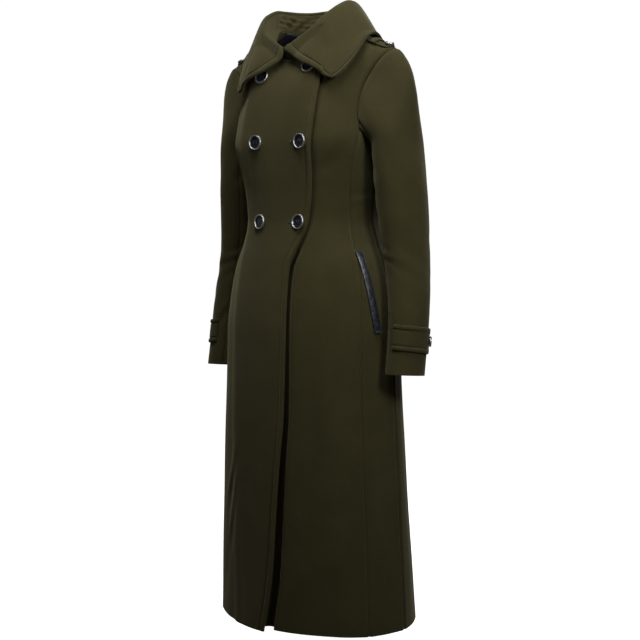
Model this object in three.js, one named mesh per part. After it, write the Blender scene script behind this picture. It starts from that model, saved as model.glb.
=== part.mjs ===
import * as THREE from "three";

// A long double-breasted wool coat, worn by nobody and keeping the worn form.
// Lengths are in millimetres and angles in degrees.
// +X is the wearer's left, -Y the front, +Z up.
// The origin lies midway between the two points where neck and shoulder meet.

// Cloth and gaps
const WALL = 3;
const SEAM_GAP = 0.42;
const LAY_GAP = 0.6;
const TRIM_WALL = 2.4;

// Main sizes
const ARMPIT_Z = -215;
const NECK_HALF = 75;
const NECK_FRONT = 84;
const NECK_FRONT_DROP = 76;
const NECK_BACK = 64;
const NECK_BACK_RISE = 3;
const NECK_DIP = 2.2;
const NECK_ANGLE = 36;
const SHOULDER_HALF = 200;
const TIP_ANGLE = 1.5;
const SHOULDER_DROP = 60;
const SHOULDER_HOLLOW = 1.3;
const BUST = { out: 11, angle: 48, wide: 24, z: -242, tall: 46 };

// Level rings of the body, from the hem to the armpit
const BODY_RINGS = [
  { z: -1218, half: 219, front: 154, back: 188, square: 2.0 },
  { z: -980, half: 207, front: 162, back: 163, square: 2.0 },
  { z: -735, half: 194, front: 168, back: 144, square: 2.0 },
  { z: -621, half: 190, front: 167, back: 138, square: 2.0 },
  { z: -573, half: 186, front: 163, back: 131, square: 2.0 },
  { z: -524, half: 178, front: 155, back: 122, square: 2.05 },
  { z: -480, half: 166, front: 146, back: 116, square: 2.1 },
  { z: -443, half: 151, front: 137, back: 108, square: 2.1 },
  { z: -395, half: 139, front: 130, back: 100, square: 2.1 },
  { z: -348, half: 143, front: 131, back: 104, square: 2.15 },
  { z: -310, half: 147, front: 133, back: 108, square: 2.3 },
  { z: -247, half: 150, front: 135, back: 116, square: 2.45 },
  { z: -215, half: 151, front: 133, back: 118, square: 2.5 },
];

// Seams down the body. The height runs on above the armpit as far as the shoulder, at RISE.
const RISE = 215;
const TOP = ARMPIT_Z + RISE;
const SIDE_FRONT_SEAM = [
  { at: -1218, angle: 60 },
  { at: -980, angle: 61 },
  { at: -735, angle: 62 },
  { at: -567, angle: 64 },
  { at: -395, angle: 65 },
  { at: -306, angle: 62 },
  { at: -215, angle: 68 },
];
const SIDE_SEAM = [
  { at: -1218, angle: 92 },
  { at: -215, angle: 92 },
];
const SIDE_BACK_SEAM = [
  { at: -1218, angle: 130 },
  { at: -735, angle: 128 },
  { at: -395, angle: 124 },
  { at: -215, angle: 114 },
];
const ARMHOLE_FRONT = [
  { at: -215, angle: 68 },
  { at: -190, angle: 66 },
  { at: -150, angle: 69 },
  { at: -100, angle: 78 },
  { at: -50, angle: 86 },
  { at: -18, angle: 89.2 },
  { at: 0, angle: 90 },
];
const ARMHOLE_BACK = [
  { at: -215, angle: 114 },
  { at: -180, angle: 115 },
  { at: -130, angle: 109 },
  { at: -70, angle: 98 },
  { at: -25, angle: 91.4 },
  { at: 0, angle: 90 },
];
const ARMPIT_DIP = 9;

// Edges of the two fronts where they lap, as x. The wearer's right front lies over the left.
const OVER_EDGE = [
  { at: -1218, x: -1 },
  { at: -1108, x: 19 },
  { at: -967, x: 31 },
  { at: -896, x: 37 },
  { at: -770, x: 48 },
  { at: -627, x: 50 },
  { at: -540, x: 47 },
  { at: -492, x: 46 },
  { at: -464, x: 52 },
  { at: -440, x: 60 },
  { at: -416, x: 67 },
  { at: -318, x: 79 },
  { at: -267, x: 83 },
  { at: -229, x: 86 },
  { at: -168, x: 88 },
  { at: -100, x: 86 },
];
const UNDER_EDGE = [
  { at: -1218, x: -66 },
  { at: -215, x: -66 },
  { at: -60, x: -30 },
  { at: -30, x: -22 },
];
const LAP_TOP_AT = -96;
const LAP_LIFT = { start: 46, full: 14, amount: 4.8 };
const EDGE_STAND = { from: -420, to: -1218, amount: 13, wide: 110 };

// Rings of each sleeve below its head, for the wearer's left arm. The wall lies inside.
const SLEEVE_RINGS = [
  { z: -252, x: 196, y: 14, out: 43, along: 69 },
  { z: -310, x: 199.5, y: 18, out: 44.5, along: 69 },
  { z: -370, x: 203, y: 21, out: 45, along: 65 },
  { z: -430, x: 208, y: 22, out: 43.5, along: 60 },
  { z: -490, x: 216, y: 19, out: 41, along: 55 },
  { z: -550, x: 225, y: 10, out: 38, along: 50 },
  { z: -621, x: 229.5, y: 0, out: 36, along: 47 },
  { z: -704, x: 231, y: -13, out: 35.5, along: 45 },
];
const SLEEVE_HEAD_ROWS = 6;
const SLEEVE_ROWS = 16;
const SLEEVE_SEAMS = { front: 128, back: 246 };
const CUFF_SLANT = 3;
const HEAD_GAP = 1.3;
const HEAD_GAP_ENDS = 1;

// Collar, for the wearer's left half, from the centre back to the throat.
// The round is the angle along the neckline, 180 at the back. The fold stands above the neckline
// and the rim is the outer edge.
const COLLAR = [
  { at: 0, round: 180, foldX: 0, foldY: 64, foldZ: 40, rimX: 0, rimY: 112, rimZ: -42 },
  { at: 0.16, round: 150, foldX: 42, foldY: 58, foldZ: 40, rimX: 70, rimY: 106, rimZ: -43 },
  { at: 0.32, round: 120, foldX: 73, foldY: 34, foldZ: 40, rimX: 124, rimY: 72, rimZ: -45 },
  { at: 0.48, round: 90, foldX: 84, foldY: -2, foldZ: 39, rimX: 145, rimY: 10, rimZ: -30 },
  { at: 0.64, round: 61, foldX: 82, foldY: -44, foldZ: 24, rimX: 148, rimY: -42, rimZ: -60 },
  { at: 0.82, round: 30, foldX: 60, foldY: -86, foldZ: -15, rimX: 138, rimY: -80, rimZ: -100 },
  { at: 1, round: 4, foldX: 3, foldY: -97, foldZ: -58, rimX: 119, rimY: -104, rimZ: -127 },
];
// Each leaf's front edge, moved towards the centre and down by these amounts, most in its middle
const LEAF_EDGE = { right: { inward: 12.5, down: 14 }, left: { inward: 4.5, down: 6 } };
const LEAF_EDGE_SHARE = [
  { at: 0, share: 0 },
  { at: 0.06, share: 0.1 },
  { at: 0.13, share: 0.35 },
  { at: 0.3, share: 0.8 },
  { at: 0.55, share: 1 },
  { at: 0.77, share: 0.75 },
  { at: 1, share: 0.6 },
];
const COLLAR_STEPS = 13;
const STAND_ROWS = 3;
const FOOT_GAP = 2.7;
const FALL_ROWS = [0, 0.06, 0.13, 0.22, 0.36, 0.55, 0.77, 1];
const COLLAR_WALL = 3;
const FOLD_RISE = 0.62;
const FOLD_GAP = 1.4;
const RIM_PULL = 0.75;
const COLLAR_CLEAR = 7.2;
const LEAF_CLEAR = 5.6;

// Yoke of lining behind the neck, in two halves
const LINING = { wall: 1.2, gap: 0.8, rows: 5, columns: 6 };

// Buttons
const BUTTON = { radius: 15, height: 5, rim: 2.6 };
const SMALL_BUTTON = { radius: 10.5, height: 4, rim: 2 };
const SMALL_BUTTON_STAND = 0.9;
const BUTTON_SIDES = 16;
// The stand is each button's height over the cloth's curve
const FRONT_BUTTONS = [
  { name: "top_right", x: -47, z: -98, stand: 0.3 },
  { name: "top_left", x: 64, z: -102, stand: -0.6 },
  { name: "chest_right", x: -43, z: -243, stand: 0.6 },
  { name: "chest_left", x: 65, z: -245, stand: 0.6 },
  { name: "waist_right", x: -37, z: -401, stand: 1.2 },
  { name: "waist_left", x: 53, z: -403, stand: 1.6 },
];

// Straps and pockets
const EPAULETTE = { inner: 118, outer: 196, front: 24, back: 20, point: 7, gap: 1.4 };
const EPAULETTE_BUTTON = { x: 186, across: -2 };
const KEEPER = { x: 158, width: 11 };
const CUFF_STRAP = { z: -634, width: 50, from: 96, to: -56, slant: 8 };
const CUFF_BUTTON = { z: -637, angle: -36 };
const POCKET = { topZ: -461, topAngle: 66.9, lowZ: -622, lowAngle: 75.8, width: 14 };

// Rows and columns of the body's grid
const BODY_ROWS = [
  -1218, -1120, -1020, -920, -820, -735, -660, -600, -550, -510, -475, -443, -415, -385, -350,
  -315, -282, -250, -231, -215,
];
const UPPER_ROWS = 8;
const COLUMNS = { lap: 8, chest: 6, neck: 3, shoulder: 5, sideFront: 4, sideBack: 4 };

const COLORS = {
  cloth: 0x3a3627,
  collar: 0x454132,
  lining: 0x1b1f33,
  leather: 0x15130f,
  metal: 0xc9c9c6,
};

const radians = THREE.MathUtils.degToRad;
const vector = (x, y, z) => new THREE.Vector3(x, y, z);
const mix = (a, b, t) => a + (b - a) * t;

// Smooth curve through a table's column, with no overshoot
function along(table, column, at, key = "at") {
  const last = table.length - 1;
  if (at <= table[0][key]) return table[0][column];
  if (at >= table[last][key]) return table[last][column];
  const slope = (i) => (table[i + 1][column] - table[i][column]) / (table[i + 1][key] - table[i][key]);
  const tangent = (i) => {
    if (i === 0) return slope(0);
    if (i === last) return slope(last - 1);
    const before = slope(i - 1);
    const after = slope(i);
    if (before * after <= 0) return 0;
    const stepBefore = table[i][key] - table[i - 1][key];
    const stepAfter = table[i + 1][key] - table[i][key];
    const first = 2 * stepAfter + stepBefore;
    const second = stepAfter + 2 * stepBefore;
    return (first + second) / (first / before + second / after);
  };
  let i = 0;
  while (at > table[i + 1][key]) i += 1;
  const step = table[i + 1][key] - table[i][key];
  const t = (at - table[i][key]) / step;
  return (
    table[i][column] * (1 + 2 * t) * (1 - t) ** 2 +
    tangent(i) * step * t * (1 - t) ** 2 +
    table[i + 1][column] * t * t * (3 - 2 * t) -
    tangent(i + 1) * step * t * t * (1 - t)
  );
}

function ease(from, to, value) {
  const t = THREE.MathUtils.clamp((value - from) / (to - from), 0, 1);
  return t * t * (3 - 2 * t);
}

// Cubic from one point and direction to another
function hermite(start, leave, end, arrive, t) {
  return start
    .clone()
    .multiplyScalar((1 + 2 * t) * (1 - t) ** 2)
    .addScaledVector(leave, t * (1 - t) ** 2)
    .addScaledVector(end, t * t * (3 - 2 * t))
    .addScaledVector(arrive, -t * t * (1 - t));
}

// Point of a level ring of the body, its angle from the centre front to the wearer's left
function ringPoint(angle, z) {
  const square = along(BODY_RINGS, "square", z, "z");
  const s = Math.sin(radians(angle));
  const c = Math.cos(radians(angle));
  const reach = (Math.abs(s) ** square + Math.abs(c) ** square) ** (-1 / square);
  const depth = along(BODY_RINGS, c > 0 ? "front" : "back", z, "z");
  const x = along(BODY_RINGS, "half", z, "z") * reach * s;
  const y = -depth * reach * c;
  const spread = ((Math.abs(angle) - BUST.angle) / BUST.wide) ** 2 + ((z - BUST.z) / BUST.tall) ** 2;
  const out = (BUST.out * Math.exp(-spread)) / Math.hypot(x, y);
  return vector(x * (1 + out), y * (1 + out), z);
}

// Point of the neckline, its round running from 0 at the front to 180 at the back
function neckPoint(round) {
  const s = Math.sin(radians(round));
  const c = Math.cos(radians(round));
  const z = c > 0 ? -NECK_FRONT_DROP * c ** NECK_DIP : NECK_BACK_RISE * (-c) ** NECK_DIP;
  return vector(NECK_HALF * s, c > 0 ? -NECK_FRONT * c : -NECK_BACK * c, z);
}

// The body's upper edge above each angle: the neckline, then the shoulder seam
function topPoint(angle) {
  const side = vector(Math.sign(angle) || 1, 1, 1);
  const isBack = Math.abs(angle) > 90;
  const turned = isBack ? 180 - Math.abs(angle) : Math.abs(angle);
  if (turned <= NECK_ANGLE) {
    const round = (turned / NECK_ANGLE) * 90;
    return neckPoint(isBack ? 180 - round : round).multiply(side);
  }
  const t = (turned - NECK_ANGLE) / (90 - NECK_ANGLE);
  const drop = -SHOULDER_DROP * (1 - (1 - t) ** SHOULDER_HOLLOW);
  return vector(mix(NECK_HALF, SHOULDER_HALF, t), -5 * t, drop).multiply(side);
}

// Direction in which the cloth crosses the upper edge
function topDirection(angle) {
  const isBack = Math.abs(angle) > 90;
  const turned = isBack ? 180 - Math.abs(angle) : Math.abs(angle);
  const t = ease(0, NECK_ANGLE * 1.3, turned);
  const y = isBack ? -mix(0.35, 1, t) : mix(0.6, 1, t);
  const z = isBack ? mix(0.95, -0.1, t) : mix(0.8, 0.1, t);
  return vector(0, y, z).normalize();
}

// Point of the body's cloth, its height given along the cloth
function bodyPoint(angle, at) {
  if (at <= ARMPIT_Z) return ringPoint(angle, at);
  const start = ringPoint(angle, ARMPIT_Z);
  const end = topPoint(angle);
  const span = start.distanceTo(end);
  const leave = start.clone().sub(ringPoint(angle, ARMPIT_Z - 4)).normalize().multiplyScalar(span);
  const arrive = topDirection(angle).multiplyScalar(span);
  return hermite(start, leave, end, arrive, (at - ARMPIT_Z) / RISE);
}

// Normal of the body's cloth. Above the armpit front and back meet at the shoulder's tip,
// so there the angle keeps off 90.
function bodyNormal(angle, at) {
  const low = Math.min(at, TOP - 0.5);
  const turned = Math.abs(angle);
  const kept = turned > 90 ? Math.max(turned, 90 + TIP_ANGLE) : Math.min(turned, 90 - TIP_ANGLE);
  const near = at > ARMPIT_Z ? Math.sign(angle) * kept : angle;
  const across = bodyPoint(near + 0.4, low).sub(bodyPoint(near - 0.4, low));
  const upward = bodyPoint(near, low + 0.5).sub(bodyPoint(near, low - 0.5));
  return across.cross(upward).normalize();
}

// Angle at which the body's front has a given x
function angleAtX(x, at) {
  let low = -89;
  let high = 89;
  for (let i = 0; i < 30; i += 1) {
    const middle = (low + high) / 2;
    if (bodyPoint(middle, at).x < x) low = middle;
    else high = middle;
  }
  return (low + high) / 2;
}

const edgeAngle = (at) => angleAtX(along(OVER_EDGE, "x", Math.min(at, LAP_TOP_AT)), at);

// How far the over-lapping front stands out from the body's own surface
function overLift(angle, at) {
  const x = bodyPoint(angle, at).x;
  const past = along(UNDER_EDGE, "x", at) - x;
  const lap = LAP_LIFT.amount * ease(LAP_LIFT.start, LAP_LIFT.full, past);
  const near = ease(EDGE_STAND.wide, 0, along(OVER_EDGE, "x", at) - x);
  return lap + EDGE_STAND.amount * ease(EDGE_STAND.from, EDGE_STAND.to, at) * near;
}

// Closed wall between an outer and an inner grid of points
function wallGeometry(outer, inner, ringed = false) {
  const rows = outer.length;
  const columns = outer[0].length;
  const positions = [];
  [outer, inner].forEach((grid) => grid.forEach((row) => row.forEach((p) => positions.push(p.x, p.y, p.z))));
  const place = (layer, i, j) => layer * rows * columns + i * columns + (j % columns);
  const faces = [];
  const quad = (a, b, c, d) => faces.push(a, b, c, a, c, d);
  const across = ringed ? columns : columns - 1;
  for (let i = 0; i < rows - 1; i += 1) {
    for (let j = 0; j < across; j += 1) {
      quad(place(0, i, j), place(0, i, j + 1), place(0, i + 1, j + 1), place(0, i + 1, j));
      quad(place(1, i, j), place(1, i + 1, j), place(1, i + 1, j + 1), place(1, i, j + 1));
    }
  }
  for (let j = 0; j < across; j += 1) {
    quad(place(0, 0, j), place(1, 0, j), place(1, 0, j + 1), place(0, 0, j + 1));
    const top = rows - 1;
    quad(place(0, top, j), place(0, top, j + 1), place(1, top, j + 1), place(1, top, j));
  }
  if (!ringed) {
    const end = columns - 1;
    for (let i = 0; i < rows - 1; i += 1) {
      quad(place(0, i, 0), place(0, i + 1, 0), place(1, i + 1, 0), place(1, i, 0));
      quad(place(0, i, end), place(1, i, end), place(1, i + 1, end), place(0, i + 1, end));
    }
  }
  return closedGeometry(positions, faces);
}

// Geometry whose faces point out, whichever way its grid was walked
function closedGeometry(positions, faces) {
  let volume = 0;
  const corner = (index) => vector(...positions.slice(index * 3, index * 3 + 3));
  for (let i = 0; i < faces.length; i += 3) {
    volume += corner(faces[i]).dot(corner(faces[i + 1]).cross(corner(faces[i + 2])));
  }
  const turned = volume < 0 ? faces.slice().reverse() : faces;
  const geometry = new THREE.BufferGeometry();
  geometry.setAttribute("position", new THREE.Float32BufferAttribute(positions, 3));
  geometry.setIndex(turned);
  geometry.computeVertexNormals();
  return geometry;
}

const coat = new THREE.Group();

function addPiece(name, geometry, color, roughness = 0.9, metalness = 0) {
  const mesh = new THREE.Mesh(geometry, new THREE.MeshStandardMaterial({ color, roughness, metalness }));
  mesh.name = name;
  coat.add(mesh);
  return mesh;
}

// Wall whose outer points come from a function of column and row fractions
function sheetGeometry(columnFractions, rowFractions, pointAt, normalAt, wall) {
  const outer = rowFractions.map((row) => columnFractions.map((column) => pointAt(column, row)));
  const inner = rowFractions.map((row, i) =>
    columnFractions.map((column, j) => outer[i][j].clone().addScaledVector(normalAt(column, row), -wall)),
  );
  return wallGeometry(outer, inner);
}

const fractions = (count) => Array.from({ length: count + 1 }, (_, i) => i / count);

// Half the seam's gap as an angle round the body
const trimAngle = (at) => THREE.MathUtils.radToDeg(SEAM_GAP / 2 / Math.max(90, bodyPoint(90, at).x));

// Heights of the grid's rows, level to the armpit and then up to the shoulder
const upperRows = fractions(UPPER_ROWS).slice(1).map((t) => ARMPIT_Z + t * RISE);
const topTrim = TOP - SEAM_GAP / 2;
const frontRows = [...BODY_ROWS, ...upperRows.slice(0, -1), topTrim];

const frontSideAngle = (at) =>
  at <= ARMPIT_Z ? along(SIDE_FRONT_SEAM, "angle", at) : along(ARMHOLE_FRONT, "angle", at);
const backSideAngle = (at) =>
  at <= ARMPIT_Z ? along(SIDE_BACK_SEAM, "angle", at) : along(ARMHOLE_BACK, "angle", at);

// Column fractions with one column on the corner between neckline and shoulder
function columnFractions(start, end, before, after) {
  const corner = (NECK_ANGLE - start) / (end - start);
  const toShoulder = fractions(after).slice(1).map((t) => mix(corner, 1, t));
  return [...fractions(before).map((t) => t * corner), ...toShoulder];
}

// A front, from its lapping edge to the seam and armhole at its side.
// Angles are counted towards the front's own side.
function frontGeometry(side) {
  const isOver = side < 0;
  const edgeAt = (at) => {
    const level = Math.min(at, -30);
    return isOver ? -edgeAngle(level) : angleAtX(along(UNDER_EDGE, "x", level), level);
  };
  const columns = columnFractions(edgeAt(TOP), 90, isOver ? COLUMNS.lap : COLUMNS.chest, COLUMNS.shoulder);
  const lapEnd = -edgeAt(TOP) / (90 - edgeAt(TOP));
  const heightAt = (column, row) => {
    const height = frontRows[row];
    if (height <= ARMPIT_Z || !isOver) return height;
    const top = mix(LAP_TOP_AT, topTrim, ease(0, lapEnd * 1.25, column));
    return mix(ARMPIT_Z, top, (height - ARMPIT_Z) / (topTrim - ARMPIT_Z));
  };
  const angleAt = (column, row) => {
    const at = heightAt(column, row);
    return side * mix(edgeAt(at), frontSideAngle(frontRows[row]) - trimAngle(at), column);
  };
  const normalAt = (column, row) => bodyNormal(angleAt(column, row), heightAt(column, row));
  const pointAt = (column, row) => {
    const angle = angleAt(column, row);
    const at = heightAt(column, row);
    const lift = isOver ? overLift(angle, at) : 0;
    return bodyPoint(angle, at).addScaledVector(normalAt(column, row), lift);
  };
  return sheetGeometry(columns, frontRows.map((_, i) => i), pointAt, normalAt, WALL);
}

// Angle of a back's column, from the centre back seam to the seam and armhole at its side
const backAngle = (side, column, at) =>
  side * mix(180 - trimAngle(at), backSideAngle(at) + trimAngle(at), column);
const backColumns = [
  ...fractions(COLUMNS.neck).map((t) => (t * NECK_ANGLE) / 90),
  ...fractions(COLUMNS.shoulder).slice(1).map((t) => mix(NECK_ANGLE / 90, 1, t)),
];

function backGeometry(side) {
  const normalAt = (column, at) => bodyNormal(backAngle(side, column, at), at);
  const pointAt = (column, at) => bodyPoint(backAngle(side, column, at), at);
  return sheetGeometry(backColumns, frontRows, pointAt, normalAt, WALL);
}

// A side panel between two seams, its top edge being the armhole's lowest stretch
function sidePanelGeometry(side, fromSeam, toSeam, columns) {
  const rows = BODY_ROWS.map((_, i) => i);
  const angleAt = (column, at) =>
    mix(along(fromSeam, "angle", at) + trimAngle(at), along(toSeam, "angle", at) - trimAngle(at), column);
  const heightAt = (column, row) => {
    const height = BODY_ROWS[row];
    const dip = ARMPIT_DIP * armpitDip(angleAt(column, ARMPIT_Z));
    return height - dip * ease(-350, ARMPIT_Z, height);
  };
  const angle = (column, row) => side * angleAt(column, BODY_ROWS[row]);
  const normalAt = (column, row) => bodyNormal(angle(column, row), heightAt(column, row));
  const pointAt = (column, row) => bodyPoint(angle(column, row), heightAt(column, row));
  return sheetGeometry(fractions(columns), rows, pointAt, normalAt, WALL);
}

// How deep the armhole dips below its corners, from 0 at a corner to 1 at the side seam
function armpitDip(angle) {
  const from = ARMHOLE_FRONT[0].angle;
  const to = ARMHOLE_BACK[0].angle;
  return Math.sin(Math.PI * THREE.MathUtils.clamp((angle - from) / (to - from), 0, 1));
}

// The armhole's edge as a closed loop, from the shoulder down the front, under the arm and up the back
function armholeLoop() {
  const frontUp = upperRows.slice(0, -1).reverse();
  const corners = [{ angle: 90, at: topTrim }];
  frontUp.forEach((at) => corners.push({ angle: along(ARMHOLE_FRONT, "angle", at), at }));
  const sideAngle = SIDE_SEAM[1].angle;
  const underFront = fractions(COLUMNS.sideFront).map((t) => mix(ARMHOLE_FRONT[0].angle, sideAngle, t));
  const underBack = fractions(COLUMNS.sideBack).map((t) => mix(sideAngle, ARMHOLE_BACK[0].angle, t));
  [...underFront, ...underBack.slice(1)].forEach((angle) =>
    corners.push({ angle, at: ARMPIT_Z - ARMPIT_DIP * armpitDip(angle) }),
  );
  upperRows.slice(0, -1).forEach((at) => corners.push({ angle: along(ARMHOLE_BACK, "angle", at), at }));
  return corners;
}

// Point of the sleeve's level ring. The turn starts at the outer side and runs by the front.
function sleeveRing(turn, z) {
  const read = (column) => along(SLEEVE_RINGS.slice().reverse(), column, z, "z");
  const slant = CUFF_SLANT * ease(-500, -704, z) * Math.sin(radians(turn));
  return vector(
    read("x") + read("out") * Math.cos(radians(turn)),
    read("y") - read("along") * Math.sin(radians(turn)),
    z + slant,
  );
}

const SLEEVE_TOP_Z = SLEEVE_RINGS[0].z;
const SLEEVE_END_Z = SLEEVE_RINGS[SLEEVE_RINGS.length - 1].z;
const loop = armholeLoop();

// Turn round the sleeve for each point of the armhole's loop, by its share of the loop's length
const loopTurns = (() => {
  const points = loop.map(({ angle, at }) => bodyPoint(angle, at));
  const lengths = points.map((p, i) => p.distanceTo(points[(i + 1) % points.length]));
  const lowest = loop.findIndex(({ angle }) => angle === SIDE_SEAM[1].angle);
  const frontLength = lengths.slice(0, lowest).reduce((sum, step) => sum + step, 0);
  const backLength = lengths.slice(lowest).reduce((sum, step) => sum + step, 0);
  let done = 0;
  return points.map((_, i) => {
    const turn = i <= lowest ? (180 * done) / frontLength : 180 + (180 * (done - frontLength)) / backLength;
    done += lengths[i];
    return turn;
  });
})();

// Place on the armhole's edge at a turn
function armholeSpot(turn) {
  let i = loopTurns.findIndex((next) => next > turn + 1e-9) - 1;
  if (i < -1) i = loopTurns.length - 1;
  const j = (i + 1) % loop.length;
  const end = j === 0 ? 360 : loopTurns[j];
  const t = (turn - loopTurns[i]) / (end - loopTurns[i]);
  return { angle: mix(loop[i].angle, loop[j].angle, t), at: mix(loop[i].at, loop[j].at, t) };
}

// Direction in which the sleeve leaves the armhole
function headDirection(turn) {
  const c = Math.cos(radians(turn));
  const s = Math.sin(radians(turn));
  const top = Math.max(0, c);
  const under = Math.max(0, -c);
  const out = 0.95 * top + 0.5 * Math.abs(s) * (1 - under) + 0.1 + 0.75 * under;
  const down = 0.6 * top + 0.85 * Math.abs(s) + 0.65 * under;
  return vector(out, -0.3 * s, -down).normalize();
}

// Point of the sleeve: rows 0 to 1 make the head, rows 1 to 2 the arm
function sleevePoint(turn, row) {
  if (row >= 1) return sleeveRing(turn, mix(SLEEVE_TOP_Z, SLEEVE_END_Z, row - 1));
  const clear = HEAD_GAP + HEAD_GAP_ENDS * Math.abs(Math.cos(radians(turn)));
  const { angle, at } = armholeSpot(turn);
  const start = bodyPoint(angle, at).addScaledVector(headDirection(turn), clear);
  const end = sleeveRing(turn, SLEEVE_TOP_Z);
  const span = start.distanceTo(end);
  const arrive = sleeveRing(turn, SLEEVE_TOP_Z - 6).sub(end).normalize().multiplyScalar(span);
  return hermite(start, headDirection(turn).multiplyScalar(span), end, arrive, row);
}

// Normal of the sleeve, which follows the shoulder's own at the top of the armhole
function sleeveNormal(turn, row) {
  const around = sleevePoint((turn + 1.5) % 360, row).sub(sleevePoint((turn + 358.5) % 360, row));
  const down = sleevePoint(turn, Math.min(2, row + 0.02)).sub(sleevePoint(turn, Math.max(0, row - 0.02)));
  const normal = around.cross(down).normalize();
  const share = ease(0.15, 0, row) * ease(0, 0.6, Math.cos(radians(turn)));
  if (share === 0) return normal;
  const { angle, at } = armholeSpot(turn);
  return normal.lerp(bodyNormal(angle, at), share).normalize();
}

// One of a sleeve's two pieces, between two turns. Turns are given from one seam to the other.
function sleeveGeometry(side, stops) {
  const trim = THREE.MathUtils.radToDeg(SEAM_GAP / 2 / SLEEVE_RINGS[SLEEVE_RINGS.length - 1].out);
  const last = stops.length - 1;
  const turns = stops.map((turn, i) => (turn + (i === 0 ? trim : 0) - (i === last ? trim : 0) + 360) % 360);
  const head = fractions(SLEEVE_HEAD_ROWS);
  const arm = fractions(SLEEVE_ROWS - SLEEVE_HEAD_ROWS).slice(1).map((t) => 1 + t);
  const flip = vector(side, 1, 1);
  const outer = [...head, ...arm].map((row) => turns.map((turn) => sleevePoint(turn, row)));
  const inner = [...head, ...arm].map((row, i) =>
    turns.map((turn, j) => outer[i][j].clone().addScaledVector(sleeveNormal(turn, row), -WALL)),
  );
  const turned = (grid) => grid.map((row) => row.map((p) => p.clone().multiply(flip)));
  return wallGeometry(turned(outer), turned(inner));
}

// The upper piece has a column on the shoulder's tip
const upperTurns = [
  ...fractions(7).map((t) => mix(SLEEVE_SEAMS.back - 360, 0, t)),
  ...fractions(7).slice(1).map((t) => mix(0, SLEEVE_SEAMS.front, t)),
];
const underTurns = fractions(7).map((t) => mix(SLEEVE_SEAMS.front, SLEEVE_SEAMS.back, t));

// Point of the fold or the rim from the collar's table, mirrored for the wearer's right
function collarRow(part, at) {
  const share = Math.abs(at);
  const side = Math.sign(at) || 1;
  return vector(
    side * along(COLLAR, `${part}X`, share),
    along(COLLAR, `${part}Y`, share),
    along(COLLAR, `${part}Z`, share),
  );
}

// Foot of the collar's stand, just above the neckline, and above the lap on the wearer's right
function collarFoot(at) {
  const round = along(COLLAR, "round", Math.abs(at));
  const foot = neckPoint(round).multiply(vector(Math.sign(at) || 1, 1, 1));
  const angle = (Math.min(round, 180 - round) / 90) * NECK_ANGLE;
  const lift = at < 0 && round < 90 ? overLift(-angle, TOP - 4) : 0;
  return foot.add(vector(0, -lift, lift * 0.6 + FOOT_GAP));
}

// Stand of the collar, from the neckline up to the fold
function standPoint(at, row) {
  return collarFoot(at).lerp(collarRow("fold", at), row);
}

function standNormal(at, row) {
  const across = standPoint(at + 0.01, row).sub(standPoint(at - 0.01, row));
  const upward = collarRow("fold", at).sub(collarFoot(at));
  return across.cross(upward).normalize();
}

// Nearest place on the body to a point, and the point's height over the cloth there
function overBody(point) {
  let angle = THREE.MathUtils.radToDeg(Math.atan2(point.x / 150, -point.y / 120));
  let at = Math.min(point.z, -20);
  for (let i = 0; i < 12; i += 1) {
    const here = bodyPoint(angle, at);
    const across = bodyPoint(angle + 0.5, at).sub(here).multiplyScalar(2);
    const upward = here.clone().sub(bodyPoint(angle, at - 1));
    const off = point.clone().sub(here);
    const aa = across.dot(across);
    const uu = upward.dot(upward);
    const au = across.dot(upward);
    const share = aa * uu - au * au;
    angle += THREE.MathUtils.clamp((off.dot(across) * uu - off.dot(upward) * au) / share, -8, 8);
    at += THREE.MathUtils.clamp((off.dot(upward) * aa - off.dot(across) * au) / share, -25, 25);
    at = Math.min(at, TOP - 1);
  }
  const normal = bodyNormal(angle, at);
  return { angle, at, normal, height: point.clone().sub(bodyPoint(angle, at)).dot(normal) };
}

// Fall of the collar, over the fold and down to its outer edge, resting on the body
function fallPoint(at, row) {
  const fold = collarRow("fold", at);
  const rim = collarRow("rim", at);
  const up = fold.clone().sub(collarFoot(at)).normalize();
  const start = fold.clone().addScaledVector(up, FOLD_GAP).addScaledVector(standNormal(at, 1), -COLLAR_WALL);
  const span = start.distanceTo(rim);
  const leave = up.multiplyScalar(FOLD_RISE * span);
  const arrive = rim.clone().sub(fold).normalize().multiplyScalar(RIM_PULL * span);
  const point = hermite(start, leave, rim, arrive, row);
  const { inward, down } = LEAF_EDGE[at < 0 ? "right" : "left"];
  const moved = along(LEAF_EDGE_SHARE, "share", row) * ease(0.62, 1, Math.abs(at));
  point.add(vector(-Math.sign(at) * inward * moved, 0, -down * moved));
  if (row < FALL_ROWS[3]) return point;
  const { angle, at: level, normal, height } = overBody(point);
  const leaf = LEAF_CLEAR * ease(0.6, 0.85, Math.abs(at));
  const need = COLLAR_CLEAR + leaf + (at < 0 ? overLift(angle, level) : LAP_LIFT.amount * ease(0, 0.3, at));
  return point.addScaledVector(normal, Math.max(0, need - height));
}

function fallNormal(at, row) {
  const low = Math.max(row, 0.02);
  const across = fallPoint(at + 0.01, low).sub(fallPoint(at - 0.01, low));
  const downward = fallPoint(at, Math.min(low + 0.02, 1)).sub(fallPoint(at, low - 0.02));
  return downward.cross(across).normalize();
}

const collarSteps = fractions(COLLAR_STEPS * 2).map((t) => 2 * t - 1);

function standGeometry() {
  return sheetGeometry(collarSteps, fractions(STAND_ROWS), standPoint, standNormal, COLLAR_WALL);
}

function fallGeometry() {
  return sheetGeometry(collarSteps, FALL_ROWS, fallPoint, fallNormal, COLLAR_WALL);
}

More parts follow.
